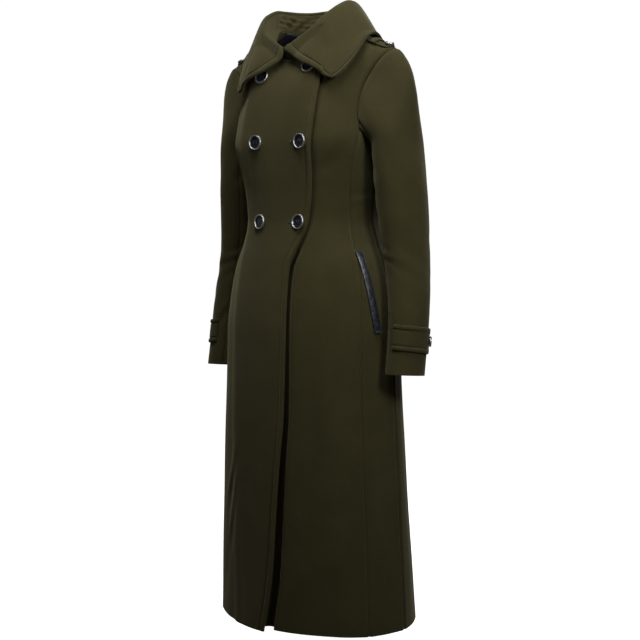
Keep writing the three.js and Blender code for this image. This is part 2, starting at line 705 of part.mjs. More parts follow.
// Half of the lining's yoke inside a back, on that back's own columns and rows
function liningGeometry(side) {
  const columns = backColumns.slice(0, LINING.columns);
  const rows = frontRows.slice(-LINING.rows - 1, -1);
  const normalAt = (column, at) => bodyNormal(backAngle(side, column, at), at);
  const pointAt = (column, at) =>
    bodyPoint(backAngle(side, column, at), at).addScaledVector(normalAt(column, at), -WALL - LINING.gap);
  return sheetGeometry(columns, rows, pointAt, normalAt, LINING.wall);
}

// Round button with a raised rim, its flat back towards the cloth
function buttonGeometry({ radius, height, rim }) {
  const dish = height * 0.55;
  const profile = [
    [0, 0],
    [radius, 0],
    [radius, height - 1],
    [radius - rim / 2, height],
    [radius - rim, height - 0.8],
    [radius - rim - 0.6, dish],
    [0, dish + 0.6],
  ].map(([x, y]) => new THREE.Vector2(x, y));
  const lathe = new THREE.LatheGeometry(profile, BUTTON_SIDES);
  return lathe.rotateX(Math.PI / 2);
}

// Seats a button on a point of the cloth, facing along the normal
function addButton(name, size, point, normal, stand = SMALL_BUTTON_STAND) {
  const button = addPiece(name, buttonGeometry(size), COLORS.metal, 0.3, 0.9);
  button.position.copy(point).addScaledVector(normal, stand);
  button.quaternion.setFromUnitVectors(vector(0, 0, 1), normal);
}

// Strap over the shoulder, its length along x and its width across the shoulder seam
function shoulderPoint(x, acrossMm, lift) {
  const t = (Math.abs(x) - NECK_HALF) / (SHOULDER_HALF - NECK_HALF);
  const turned = mix(NECK_ANGLE, 90, t);
  const side = Math.sign(x);
  const angle = side * (acrossMm < 0 ? turned : 180 - turned);
  const at = TOP - Math.min(Math.abs(acrossMm), RISE);
  const normal = bodyNormal(angle, at);
  return bodyPoint(angle, at).addScaledVector(normal, lift);
}

function epauletteGeometry(side) {
  const lift = EPAULETTE.gap;
  const pointAt = (column, row) => {
    const across = mix(-EPAULETTE.front, EPAULETTE.back, row);
    const reach = EPAULETTE.outer - EPAULETTE.point * (2 * row - 1) ** 2;
    return shoulderPoint(side * mix(EPAULETTE.inner, reach, column), across, lift + TRIM_WALL);
  };
  const lower = (column, row) => {
    const across = mix(-EPAULETTE.front, EPAULETTE.back, row);
    const reach = EPAULETTE.outer - EPAULETTE.point * (2 * row - 1) ** 2;
    return shoulderPoint(side * mix(EPAULETTE.inner, reach, column), across, lift);
  };
  const outer = fractions(6).map((row) => fractions(7).map((column) => pointAt(column, row)));
  const inner = fractions(6).map((row) => fractions(7).map((column) => lower(column, row)));
  return wallGeometry(outer, inner);
}

// Keeper loop across the epaulette
function keeperGeometry(side) {
  const build = (lift) =>
    fractions(8).map((row) =>
      fractions(1).map((column) => {
        const across = mix(-EPAULETTE.front - 4, EPAULETTE.back + 4, row);
        return shoulderPoint(side * (KEEPER.x + (column - 0.5) * KEEPER.width), across, lift);
      }),
    );
  const base = EPAULETTE.gap + LAY_GAP + TRIM_WALL;
  return wallGeometry(build(base + TRIM_WALL), build(base));
}

// Strap round the outer side of a sleeve above its cuff
function cuffStrapGeometry(side) {
  const flip = vector(side, 1, 1);
  const turnAt = (column) => (mix(CUFF_STRAP.from, CUFF_STRAP.to, column) + 360) % 360;
  const rowAt = (column, row) => {
    const z = CUFF_STRAP.z + (0.5 - row) * CUFF_STRAP.width - CUFF_STRAP.slant * (column - 0.5);
    return 1 + (z - SLEEVE_TOP_Z) / (SLEEVE_END_Z - SLEEVE_TOP_Z);
  };
  const build = (lift) =>
    fractions(3).map((row) =>
      fractions(14).map((column) => {
        const turn = turnAt(column);
        const at = rowAt(column, row);
        return sleevePoint(turn, at).addScaledVector(sleeveNormal(turn, at), lift).multiply(flip);
      }),
    );
  return wallGeometry(build(LAY_GAP + TRIM_WALL), build(LAY_GAP));
}

// Slanted welt of a pocket on the side of the front
function pocketGeometry(side) {
  const half = THREE.MathUtils.radToDeg(POCKET.width / 2 / 165);
  const build = (lift) =>
    fractions(8).map((row) =>
      fractions(2).map((column) => {
        const angle = side * (mix(POCKET.topAngle, POCKET.lowAngle, row) + (2 * column - 1) * half);
        const at = mix(POCKET.topZ, POCKET.lowZ, row);
        return bodyPoint(angle, at).addScaledVector(bodyNormal(angle, at), lift);
      }),
    );
  return wallGeometry(build(LAY_GAP + TRIM_WALL), build(LAY_GAP));
}

// Body
addPiece("front_right", frontGeometry(-1), COLORS.cloth);
addPiece("front_left", frontGeometry(1), COLORS.cloth);
[
  { side: -1, name: "right" },
  { side: 1, name: "left" },
].forEach(({ side, name }) => {
  const sideFront = sidePanelGeometry(side, SIDE_FRONT_SEAM, SIDE_SEAM, COLUMNS.sideFront);
  const sideBack = sidePanelGeometry(side, SIDE_SEAM, SIDE_BACK_SEAM, COLUMNS.sideBack);
  addPiece(`side_front_${name}`, sideFront, COLORS.cloth);
  addPiece(`side_back_${name}`, sideBack, COLORS.cloth);
  addPiece(`back_${name}`, backGeometry(side), COLORS.cloth);
  addPiece(`sleeve_upper_${name}`, sleeveGeometry(side, upperTurns), COLORS.cloth);
  addPiece(`sleeve_under_${name}`, sleeveGeometry(side, underTurns), COLORS.cloth);
  addPiece(`epaulette_${name}`, epauletteGeometry(side), COLORS.collar);
  addPiece(`epaulette_keeper_${name}`, keeperGeometry(side), COLORS.collar);
  addPiece(`cuff_strap_${name}`, cuffStrapGeometry(side), COLORS.collar);
  addPiece(`pocket_welt_${name}`, pocketGeometry(side), COLORS.leather, 0.5);
  addPiece(`neck_lining_${name}`, liningGeometry(side), COLORS.lining, 0.5);

  const buttonX = side * EPAULETTE_BUTTON.x;
  const strapTop = EPAULETTE.gap + TRIM_WALL;
  const onShoulder = shoulderPoint(buttonX, EPAULETTE_BUTTON.across, strapTop);
  const shoulderUp = shoulderPoint(buttonX, EPAULETTE_BUTTON.across, strapTop + 1).sub(onShoulder);
  addButton(`epaulette_button_${name}`, SMALL_BUTTON, onShoulder, shoulderUp.normalize());

  const flip = vector(side, 1, 1);
  const buttonRow = 1 + (CUFF_BUTTON.z - SLEEVE_TOP_Z) / (SLEEVE_END_Z - SLEEVE_TOP_Z);
  const turn = CUFF_BUTTON.angle + 360;
  const cuffNormal = sleeveNormal(turn, buttonRow);
  const onCuff = sleevePoint(turn, buttonRow).addScaledVector(cuffNormal, LAY_GAP + TRIM_WALL);
  addButton(`cuff_button_${name}`, SMALL_BUTTON, onCuff.multiply(flip), cuffNormal.multiply(flip));
});

// Collar
addPiece("collar_stand", standGeometry(), COLORS.collar);
addPiece("collar_fall", fallGeometry(), COLORS.collar);

// Front buttons, all on the over-lapping front
FRONT_BUTTONS.forEach(({ name, x, z, stand }) => {
  const angle = angleAtX(x, z);
  const normal = bodyNormal(angle, z);
  const point = bodyPoint(angle, z).addScaledVector(normal, overLift(angle, z));
  addButton(`button_${name}`, BUTTON, point, normal, stand);
});

export default coat;
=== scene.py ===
import math

import bpy
import numpy as np
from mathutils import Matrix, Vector


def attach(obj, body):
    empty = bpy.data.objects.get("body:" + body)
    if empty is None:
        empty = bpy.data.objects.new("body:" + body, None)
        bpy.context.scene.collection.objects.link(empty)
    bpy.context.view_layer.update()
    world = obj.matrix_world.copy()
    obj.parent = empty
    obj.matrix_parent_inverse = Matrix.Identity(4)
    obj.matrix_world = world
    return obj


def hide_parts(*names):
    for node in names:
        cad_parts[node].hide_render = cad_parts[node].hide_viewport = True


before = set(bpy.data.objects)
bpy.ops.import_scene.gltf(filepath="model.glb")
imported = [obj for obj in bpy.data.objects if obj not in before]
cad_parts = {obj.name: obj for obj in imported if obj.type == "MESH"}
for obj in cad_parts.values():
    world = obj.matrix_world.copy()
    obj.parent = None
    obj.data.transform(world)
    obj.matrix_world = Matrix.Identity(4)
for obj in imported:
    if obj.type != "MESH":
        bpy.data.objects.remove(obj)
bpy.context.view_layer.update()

# A double-breasted melton coat, dressed over its solids.
# Lengths are in millimetres and angles in degrees until a mesh is made, in metres.
# +X is the wearer's left, -Y the front, +Z up. An angle on the body runs from the
# centre front, 0, to the wearer's left side, 90, and the centre back, 180.

MM = 0.001

# Cloth and gaps
WALL = 3.0
SEAM_GAP = -0.12
LAY_GAP = 0.6
TRIM_WALL = 2.4

# Body
ARMPIT_Z = -215.0
RISE = 215.0
TOP = ARMPIT_Z + RISE
HEM_Z = -1218.0
NECK_HALF = 75.0
NECK_FRONT = 84.0
NECK_FRONT_DROP = 76.0
NECK_BACK = 64.0
NECK_BACK_RISE = 3.0
NECK_DIP = 2.2
NECK_ANGLE = 36.0
SHOULDER_HALF = 200.0
TIP_ANGLE = 1.5
SHOULDER_DROP = 60.0
SHOULDER_HOLLOW = 1.3
BUST_OUT, BUST_ANGLE, BUST_WIDE, BUST_Z, BUST_TALL = 11.0, 48.0, 24.0, -242.0, 46.0

# Level rings: height, half width, front depth, back depth, squareness
BODY_RINGS = np.array([
    (-1218, 219, 154, 188, 2.0),
    (-980, 207, 162, 163, 2.0),
    (-735, 194, 168, 144, 2.0),
    (-621, 190, 167, 138, 2.0),
    (-573, 186, 163, 131, 2.0),
    (-524, 178, 155, 122, 2.05),
    (-480, 166, 146, 116, 2.1),
    (-443, 151, 137, 108, 2.1),
    (-395, 139, 130, 100, 2.1),
    (-348, 143, 131, 104, 2.15),
    (-310, 147, 133, 108, 2.3),
    (-247, 150, 135, 116, 2.45),
    (-215, 151, 133, 118, 2.5),
])

# Seams and edges: height along the cloth, then angle or x
SIDE_FRONT_SEAM = np.array([
    (-1218, 60), (-980, 61), (-735, 62), (-567, 64), (-395, 65), (-306, 62), (-215, 68),
])
SIDE_SEAM = np.array([(-1218, 92), (-215, 92)])
SIDE_BACK_SEAM = np.array([(-1218, 130), (-735, 128), (-395, 124), (-215, 114)])
ARMHOLE_FRONT = np.array([
    (-215, 68), (-190, 66), (-150, 69), (-100, 78), (-50, 86), (-18, 89.2), (0, 90),
])
ARMHOLE_BACK = np.array([(-215, 114), (-180, 115), (-130, 109), (-70, 98), (-25, 91.4), (0, 90)])
ARMPIT_DIP = 9.0
OVER_EDGE = np.array([
    (-1218, -1), (-1108, 19), (-967, 31), (-896, 37), (-770, 48), (-627, 50), (-540, 47), (-492, 46),
    (-464, 52), (-440, 60), (-416, 67), (-318, 79), (-267, 83), (-229, 86), (-168, 88), (-100, 86),
])
UNDER_EDGE = np.array([(-1218, -66), (-215, -66), (-60, -30), (-30, -22)])
LAP_TOP_AT = -96.0
LAP_START, LAP_FULL, LAP_AMOUNT = 46.0, 14.0, 4.8
STAND_FROM, STAND_TO, STAND_AMOUNT, STAND_WIDE = -420.0, -1218.0, 13.0, 110.0

# Sleeve rings: height, x, y, half width outward, half width front to back
SLEEVE_RINGS = np.array([
    (-704, 231, -13, 35.5, 45),
    (-621, 229.5, 0, 36, 47),
    (-550, 225, 10, 38, 50),
    (-490, 216, 19, 41, 55),
    (-430, 208, 22, 43.5, 60),
    (-370, 203, 21, 45, 65),
    (-310, 199.5, 18, 44.5, 69),
    (-252, 196, 14, 43, 69),
])
SLEEVE_TOP_Z = -252.0
SLEEVE_END_Z = -704.0
SLEEVE_FRONT_SEAM, SLEEVE_BACK_SEAM = 128.0, 246.0
CUFF_SLANT = 3.0
HEAD_GAP, HEAD_GAP_ENDS = 1.3, 1.0
HEAD_MM, CAP_SWELL = 150.0, 1.4

# Collar from the centre back to the throat: share, neckline angle, fold point, rim point
COLLAR = np.array([
    (0, 180, 0, 64, 40, 0, 112, -42),
    (0.16, 150, 42, 58, 40, 70, 106, -43),
    (0.32, 120, 73, 34, 40, 124, 72, -45),
    (0.48, 90, 84, -2, 39, 145, 10, -30),
    (0.64, 61, 82, -44, 24, 148, -42, -60),
    (0.82, 30, 60, -86, -15, 138, -80, -100),
    (1, 4, 3, -97, -58, 119, -104, -127),
])
FOOT_GAP = 2.7
COLLAR_WALL = 3.0
FOLD_RISE, FOLD_GAP, RIM_PULL = 0.62, 1.4, 0.75
COLLAR_CLEAR, LEAF_CLEAR = 7.2, 5.6
COLLAR_ROUND, COLLAR_ROUND_PULL = 10.0, 4.6

# The fall's length from the centre back to a leaf's front edge, and its width from fold to rim
LEAF_MM, FALL_MM = 260.0, 120.0

# Each leaf's front edge, moved inward and down by these amounts, most in its middle
RIGHT_LEAF_EDGE, LEFT_LEAF_EDGE = (20.0, 25.0), (5.0, 7.5)
LEAF_EDGE_SHARE = np.array([
    (0, 0), (0.06, 0.1), (0.13, 0.35), (0.3, 0.8), (0.55, 1), (0.77, 0.75), (1, 0.6),
])

# Ridge down the right leaf: how far it starts from the front edge, how fast it nears it, width, height
LEAF_RIDGE_START, LEAF_RIDGE_SLOPE, LEAF_RIDGE_WIDE, LEAF_RIDGE = 52.0, 87.0, 3.4, 2.4
LEAF_CROWN = 1.6
# Slit of a buttonhole down the right leaf, a black tube of painted shade for its opening: place across the
# leaf, first and last row
LEAF_SLIT_AT, LEAF_SLIT_FROM, LEAF_SLIT_TO = -0.93, 0.1, 0.28

# Crumples inside the collar's back: height, waves along and up the collar, phase
COLLAR_CRUMPLES = [(2.4, 49, -9, 2), (1.5, 17, 19, 0)]
COLLAR_FOLDS, COLLAR_PLUMP = 3.2, 2.0

# Fullness of the cloth at the waist behind each arm: amount, angle, width, height, length
SIDE_FULL = (11.0, 128, 20, -400, 75)

# Valley that the lap's edge presses into the front beneath: depth at the chest, hips and hem
VALLEY_CHEST, VALLEY_HIPS, VALLEY_HEM, VALLEY_WIDE = 7.0, 13.0, 18.0, 6.5
WAIST_DEEPENS, SKIRT_DEEPENS = (-415, -470), (-600, -1000)

# Waves of the hanging skirt: height, waves round the form, waves along it, phase
HANG_WAVES = [(1.5, 5, 1 / 410, 0), (1.0, 9, -1 / 260, 1.3)]

# Slow unevenness: amount, then its rise, turns, turns across and fall in slow_wave
BODY_SLOW, SLEEVE_SLOW = (0.5, 61, 3, 7, 95), (0.6, 48, 2, 3, 83)

# Trims
EPAULETTE_INNER, EPAULETTE_OUTER, EPAULETTE_FRONT, EPAULETTE_BACK = 118.0, 196.0, 24.0, 20.0
EPAULETTE_LONG, EPAULETTE_WIDE = EPAULETTE_OUTER - EPAULETTE_INNER, EPAULETTE_FRONT + EPAULETTE_BACK
EPAULETTE_POINT, EPAULETTE_GAP = 7.0, 1.4
KEEPER_X, KEEPER_WIDTH = 158.0, 11.0
STRAP_Z, STRAP_WIDTH, STRAP_FROM, STRAP_TO, STRAP_SLANT = -634.0, 50.0, 96.0, -56.0, 8.0
POCKET_TOP_Z, POCKET_TOP_ANGLE = -461.0, 66.9
POCKET_LOW_Z, POCKET_LOW_ANGLE, POCKET_WIDTH = -622.0, 75.8, 16.5
POCKET_RADIUS = 165.0
STRAP_MM = 118.0
LINING_GAP, LINING_WALL = 0.8, 1.2
BUTTON_SIDES = 48
EPAULETTE_BUTTON_X, EPAULETTE_BUTTON_ACROSS = 186.0, -2.0
CUFF_BUTTON_Z, CUFF_BUTTON_TURN = -637.0, -36.0
BUTTON_RADIUS, BUTTON_HEIGHT = 15.0, 5.0
SMALL_BUTTON_RADIUS, SMALL_BUTTON_HEIGHT, SMALL_BUTTON_STAND = 10.5, 4.0, 0.9

# Front buttons: name, x, height, distance off the cloth, turn about the upright axis
FRONT_BUTTONS = [
    ("top_right", -47, -98, 0.3, 0), ("top_left", 64, -102, -0.6, -6),
    ("chest_right", -43, -243, 0.6, 5), ("chest_left", 65, -245, 1.6, -15),
    ("waist_right", -37, -401, 1.2, 0), ("waist_left", 53, -403, 2.6, -24),
]

# A button's rim and face, as shares of its radius and height
RIM_PROFILE = [
    (0.72, 0), (0.93, 0), (1, 0.22), (1, 0.62), (0.985, 0.86), (0.95, 0.98), (0.91, 1),
    (0.865, 0.96), (0.835, 0.84), (0.82, 0.62), (0.8, 0.5), (0.72, 0.45),
]
FACE_PROFILE = [
    (0.0007, 0.02), (0.7, 0.02), (0.82, 0.3), (0.815, 0.6), (0.77, 0.7), (0.7, 0.66), (0.6, 0.5),
    (0.52, 0.44), (0.4, 0.46), (0.0007, 0.47),
]

# Sewing: buttonholes by x and height, tacks by their distance from a welt's end
STITCH_INSET, STITCH_STEP, STITCH_THICK = 10.0, 4.4, 0.42
BUTTONHOLE_LONG, BUTTONHOLE_WIDE = 25.0, 3.4
BUTTONHOLES = [(55, -245), (43, -403)]
WELT_MM, WELT_TACKS = 163.0, (0.6, 2.1, 3.6)

# Places of one stitch along its run, and over the cloth
STITCH_RUN = np.array([(-1.65, -0.7), (-1.188, 0.05), (0, 0.22), (1.188, 0.05), (1.65, -0.7)])

# Seam grooves: depth, width and the swell on each side
SEAM_GROOVE, LIGHT_GROOVE = (2.5, 2.0, 1.0), (1.4, 2.0, 1.0)
ARMHOLE_GROOVE, SHOULDER_GROOVE = (1.2, 2.4, 0.8), (1.2, 2.2, 0.5)
SWELL_AT, SWELL_WIDE = 7.5, 4.5

# Stitched edges: roll, dip at the stitches and their distance from the edge
LAP_BEAD, COLLAR_BEAD = (1.8, 2.0, STITCH_INSET), (2.4, 2.3, 8.0)
EPAULETTE_BEAD, STRAP_BEAD = (0.8, 1.2, 6.5), (1.2, 1.6, 9.0)
DIP_WIDE = 1.5

# Grid steps: fine ones are distances from a piece's edge
SEAM_FINE = (0, 0.9, 1.9, 3.1, 4.8, 7)
BEAD_FINE = (0, 0.5, 1.2, 2.4, 4, 5.6, 7.2, 8.4, 9.2, 10, 10.8, 11.8, 13.4, 16)
HEM_FINE = (0, 0.8, 2, 4, 7)
WELT_FINE = (0, 0.8, 2, 3.4)
GRID, ROUND = 5.0, 0.9

# Creases on the body: angle, height, lean from upright, length, width, depth (below zero is a ridge)
BODY_CREASES = [
    (-34, -925, 24, 62, 9, -2.2), (-33, -1010, 18, 70, 9, -2.0), (-29, -930, 22, 56, 8, 1.4),
    (-28, -1012, 16, 60, 8, 1.4), (-40, -1090, 10, 90, 14, 1.6), (-20, -1130, -6, 90, 12, 1.5),
    (76, -346, 84, 26, 4, 1.6), (79, -358, 80, 22, 5, -1.2), (72, -372, 66, 34, 7, 1.0),
    (40, -300, 40, 46, 13, 1.6), (33, -322, 48, 40, 12, -1.0),
    (-76, -346, 84, 24, 4, 1.5), (-72, -366, 70, 34, 7, 1.2), (-40, -302, -40, 44, 13, 1.4),
    (44, -640, 6, 150, 18, 1.6), (30, -760, 2, 200, 16, 2.2), (72, -850, -4, 180, 16, 1.8),
    (84, -1040, 3, 150, 15, 2.0), (50, -1080, -3, 130, 14, 1.6), (98, -700, 4, 150, 16, 2.0),
    (-84, -800, 4, 200, 17, 2.4), (-72, -1040, -5, 150, 15, 2.0), (-104, -940, 3, 190, 18, 2.6),
    (112, -980, -3, 190, 17, 2.6), (150, -900, 4, 230, 19, 2.6), (-146, -1000, -4, 210, 18, 2.6),
    (166, -760, -3, 160, 16, 1.8), (-168, -1080, 3, 130, 15, 1.8), (132, -560, 30, 60, 9, 1.6),
    (-130, -552, -28, 64, 9, 1.6), (160, -402, 78, 46, 6, 1.8), (-158, -396, -80, 50, 6, 1.7),
    (150, -424, 70, 52, 7, -1.4), (-166, -420, -74, 44, 7, 1.4), (108, -388, 72, 34, 6, 1.6),
    (-108, -380, -70, 34, 6, 1.6), (124, -260, 34, 60, 9, 1.7), (-124, -256, -34, 58, 9, 1.7),
    (140, -210, 50, 60, 10, 1.3), (-140, -214, -50, 56, 10, 1.3),
]

# Creases on a sleeve: turn, height, lean, length, width, depth
SLEEVE_CREASES = [
    (118, -455, 62, 34, 7, 2.4), (110, -478, 70, 36, 7, 2.2), (124, -500, 58, 30, 7, 1.8),
    (96, -470, 74, 34, 8, -1.6), (70, -500, 66, 40, 10, 1.2), (112, -600, 30, 22, 6, 2.6),
    (104, -585, 36, 22, 7, -1.4), (60, -545, 40, 46, 10, 1.2), (30, -470, 52, 44, 12, 0.9),
    (170, -330, 68, 40, 9, 2.2), (190, -360, 60, 42, 9, 2.0), (215, -330, -60, 42, 9, 1.8),
    (250, -470, -74, 36, 9, 1.6), (262, -500, -66, 40, 9, 1.7), (300, -430, -60, 44, 12, 1.0),
    (330, -300, 20, 60, 14, 0.9), (60, -290, 20, 60, 12, 1.0), (128, -300, 40, 46, 9, 1.8),
]


def mix(a, b, t):
    return a + (b - a) * t


def sin_of(angle):
    return np.sin(np.radians(angle))


def cos_of(angle):
    return np.cos(np.radians(angle))


def unit(v):
    return v / np.maximum(np.linalg.norm(v, axis=-1, keepdims=True), 1e-9)


def points(x, y, z):
    return np.stack(np.broadcast_arrays(x, y, z), axis=-1).astype(float)


def alike(*values):
    return np.broadcast_arrays(*(np.asarray(value, float) for value in values))


def ease(start, end, value):
    t = np.clip((value - start) / (end - start), 0, 1)
    return t * t * (3 - 2 * t)


def hump(value, middle, wide):
    """Soft bump of height 1 over middle."""
    return np.exp(-(((value - middle) / wide) ** 2))


def ripples(waves, first, second):
    return sum(height * np.sin(first * a + second * b + phase) for height, a, b, phase in waves)


def slow_wave(amount, rise, turns, across, fall, angle, level):
    first = np.sin(level / rise + np.radians(angle * turns))
    return amount * first * np.sin(np.radians(angle * across) - level / fall)


def raised(place, normal, height):
    return place + normal * np.asarray(height)[..., None]


def flipped(side, *things):
    """Things made for the left side, mirrored for the right."""
    return [thing * np.array([side, 1, 1]) for thing in things]


def curve(table, column, at):
    """Smooth curve through a table's column, with no overshoot."""
    xs, ys = table[:, 0].astype(float), table[:, column].astype(float)
    step = np.diff(xs)
    slope = np.diff(ys) / step
    tangent = np.zeros(len(xs))
    tangent[0], tangent[-1] = slope[0], slope[-1]
    before, after = slope[:-1], slope[1:]
    same = before * after > 0
    first, second = 2 * step[1:] + step[:-1], step[1:] + 2 * step[:-1]
    safe_before, safe_after = np.where(same, before, 1), np.where(same, after, 1)
    tangent[1:-1] = np.where(same, (first + second) / (first / safe_before + second / safe_after), 0)
    at = np.clip(np.asarray(at, float), xs[0], xs[-1])
    i = np.clip(np.searchsorted(xs, at, side="right") - 1, 0, len(xs) - 2)
    t = (at - xs[i]) / step[i]
    return (
        ys[i] * (1 + 2 * t) * (1 - t) ** 2
        + tangent[i] * step[i] * t * (1 - t) ** 2
        + ys[i + 1] * t * t * (3 - 2 * t)
        - tangent[i + 1] * step[i] * t * t * (1 - t)
    )


def hermite(start, leave, end, arrive, t):
    t = np.asarray(t, float)[..., None]
    return (
        start * (1 + 2 * t) * (1 - t) ** 2
        + leave * t * (1 - t) ** 2
        + end * t * t * (3 - 2 * t)
        - arrive * t * t * (1 - t)
    )


# The body's cloth

def ring_point(angle, z):
    square = curve(BODY_RINGS, 4, z)
    s, c = sin_of(angle), cos_of(angle)
    reach = (np.abs(s) ** square + np.abs(c) ** square) ** (-1 / square)
    depth = np.where(c > 0, curve(BODY_RINGS, 2, z), curve(BODY_RINGS, 3, z))
    x, y = curve(BODY_RINGS, 1, z) * reach * s, -depth * reach * c
    bust = BUST_OUT * hump(np.abs(angle), BUST_ANGLE, BUST_WIDE) * hump(z, BUST_Z, BUST_TALL)
    out = 1 + bust / np.hypot(x, y)
    return points(x * out, y * out, z)


def neck_point(angle):
    s, c = sin_of(angle), cos_of(angle)
    front, back = np.maximum(c, 0), np.maximum(-c, 0)
    z = -NECK_FRONT_DROP * front**NECK_DIP + NECK_BACK_RISE * back**NECK_DIP
    return points(NECK_HALF * s, -NECK_FRONT * front + NECK_BACK * back, z)


def top_point(angle):
    side = np.where(angle < 0, -1.0, 1.0)
    is_back = np.abs(angle) > 90
    turned = np.where(is_back, 180 - np.abs(angle), np.abs(angle))
    on_neck = neck_point(np.where(is_back, 180 - turned / NECK_ANGLE * 90, turned / NECK_ANGLE * 90))
    t = np.clip((turned - NECK_ANGLE) / (90 - NECK_ANGLE), 0, 1)
    drop = -SHOULDER_DROP * (1 - (1 - t) ** SHOULDER_HOLLOW)
    on_shoulder = points(mix(NECK_HALF, SHOULDER_HALF, t), -5 * t, drop)
    found = np.where((turned <= NECK_ANGLE)[..., None], on_neck, on_shoulder)
    found[..., 0] *= side
    return found


def top_direction(angle):
    is_back = np.abs(angle) > 90
    turned = np.where(is_back, 180 - np.abs(angle), np.abs(angle))
    t = ease(0, NECK_ANGLE * 1.3, turned)
    y = np.where(is_back, -mix(0.35, 1, t), mix(0.6, 1, t))
    z = np.where(is_back, mix(0.95, -0.1, t), mix(0.8, 0.1, t))
    return unit(points(0, y, z))


def body_point(angle, at):
    angle, at = alike(angle, at)
    low = ring_point(angle, np.minimum(at, ARMPIT_Z))
    start = ring_point(angle, np.full_like(at, ARMPIT_Z))
    end = top_point(angle)
    span = np.linalg.norm(end - start, axis=-1, keepdims=True)
    leave = unit(start - ring_point(angle, np.full_like(at, ARMPIT_Z - 4))) * span
    high = hermite(start, leave, end, top_direction(angle) * span, (at - ARMPIT_Z) / RISE)
    return np.where((at <= ARMPIT_Z)[..., None], low, high)


def body_normal(angle, at):
    angle, at = alike(angle, at)
    low = np.minimum(at, TOP - 0.5)
    turned = np.abs(angle)
    kept = np.where(turned > 90, np.maximum(turned, 90 + TIP_ANGLE), np.minimum(turned, 90 - TIP_ANGLE))
    near = np.where(at > ARMPIT_Z, np.sign(angle) * kept, angle)
    across = body_point(near + 0.4, low) - body_point(near - 0.4, low)
    upward = body_point(near, low + 0.5) - body_point(near, low - 0.5)
    return unit(np.cross(across, upward))


def angle_at_x(x, at):
    low, high = np.full_like(at, -89.0), np.full_like(at, 89.0)
    for _ in range(26):
        middle = (low + high) / 2
        is_low = body_point(middle, at)[..., 0] < x
        low, high = np.where(is_low, middle, low), np.where(is_low, high, middle)
    return (low + high) / 2


EDGE_AT = np.linspace(HEM_Z, TOP, 420)
OVER_EDGE_ANGLE = angle_at_x(curve(OVER_EDGE, 1, np.minimum(EDGE_AT, LAP_TOP_AT)), EDGE_AT)
UNDER_EDGE_ANGLE = angle_at_x(curve(UNDER_EDGE, 1, EDGE_AT), EDGE_AT)


def over_edge_angle(at):
    return np.interp(at, EDGE_AT, OVER_EDGE_ANGLE)


def mm_per_degree(angle, at):
    return np.linalg.norm(body_point(angle + 0.25, at) - body_point(angle - 0.25, at), axis=-1) * 2


def over_lift(angle, at):
    x = body_point(angle, at)[..., 0]
    past = curve(UNDER_EDGE, 1, at) - x
    lap = LAP_AMOUNT * ease(LAP_START, LAP_FULL, past)
    near = ease(STAND_WIDE, 0, curve(OVER_EDGE, 1, at) - x)
    return lap + STAND_AMOUNT * ease(STAND_FROM, STAND_TO, at) * near


def groove(distance, kind=SEAM_GROOVE):
    """Pressed seam: a narrow dip with a soft swell on each side."""
    depth, wide, swell = kind
    away = np.abs(distance)
    return swell * hump(away, SWELL_AT, SWELL_WIDE) - depth * hump(away, 0, wide)


def stitched_edge(distance, kind):
    """Roll along a stitched edge, then the dip that the stitches pull in."""
    roll, dip, inset = kind
    rolled = np.sqrt(np.clip(1 - ((distance - inset / 2) / (inset / 2)) ** 2, 0, 1))
    return roll * rolled - dip * hump(distance, inset, DIP_WIDE)


def crease_field(creases, across_mm, level):
    """Sum of creases. across_mm gives the distance across the cloth from a crease's own place."""
    total = np.zeros_like(level)
    for place, height, lean, long, wide, depth in creases:
        u, v = across_mm(place), level - height
        c, s = math.cos(math.radians(lean)), math.sin(math.radians(lean))
        side, way = u * c - v * s, u * s + v * c
        bend = 0.12 * wide * np.sin(way / long * 2.2 + place)
        total -= depth * hump(side, -bend, wide) * hump(way, 0, long)
    return total


def body_relief(angle, at):
    """Height of seams, creases and the cloth's slow waves over its smooth form."""
    turned = np.abs(angle)
    scale = mm_per_degree(angle, at)
    below = at <= ARMPIT_Z + 0.01
    seams = np.zeros_like(turned)
    for seam in (SIDE_FRONT_SEAM, SIDE_SEAM, SIDE_BACK_SEAM):
        seams += np.where(below, groove((turned - curve(seam, 1, at)) * scale), 0)
    for hole, sign in ((ARMHOLE_FRONT, -1), (ARMHOLE_BACK, 1)):
        away = (turned - curve(hole, 1, at)) * scale * sign
        seams += np.where(below | (away < -0.5), 0, groove(away, ARMHOLE_GROOVE))
    seams += groove((180 - turned) * scale, LIGHT_GROOVE)
    to_top = (TOP - at) * np.where(turned > NECK_ANGLE, 1, 3)
    on_shoulder = (turned > NECK_ANGLE) & (turned < 180 - NECK_ANGLE)
    seams += np.where(on_shoulder, groove(to_top, SHOULDER_GROOVE), 0)
    creases = crease_field(BODY_CREASES, lambda place: ((angle - place + 180) % 360 - 180) * scale, at)
    waves = ease(-430, HEM_Z, at) * ripples(HANG_WAVES, np.radians(angle), at)
    amount, middle, wide, level, long = SIDE_FULL
    waves += amount * hump(turned, middle, wide) * hump(at, level, long)
    return seams + creases + waves + slow_wave(*BODY_SLOW, angle, at)


def body_skin(angle, at, lift=0.0):
    """Point of the finished outer cloth, and the normal of its smooth form."""
    normal = body_normal(angle, at)
    return raised(body_point(angle, at), normal, body_relief(angle, at) + lift), normal


def over_skin(angle, at, lift=0.0):
    """The same on the front that lies over, with its stitched edge."""
    to_edge = (over_edge_angle(at) - angle) * mm_per_degree(angle, at)
    bead = np.where(to_edge < 24, stitched_edge(np.maximum(to_edge, 0), LAP_BEAD), 0)
    return body_skin(angle, at, over_lift(angle, at) + bead + lift)


# Meshes

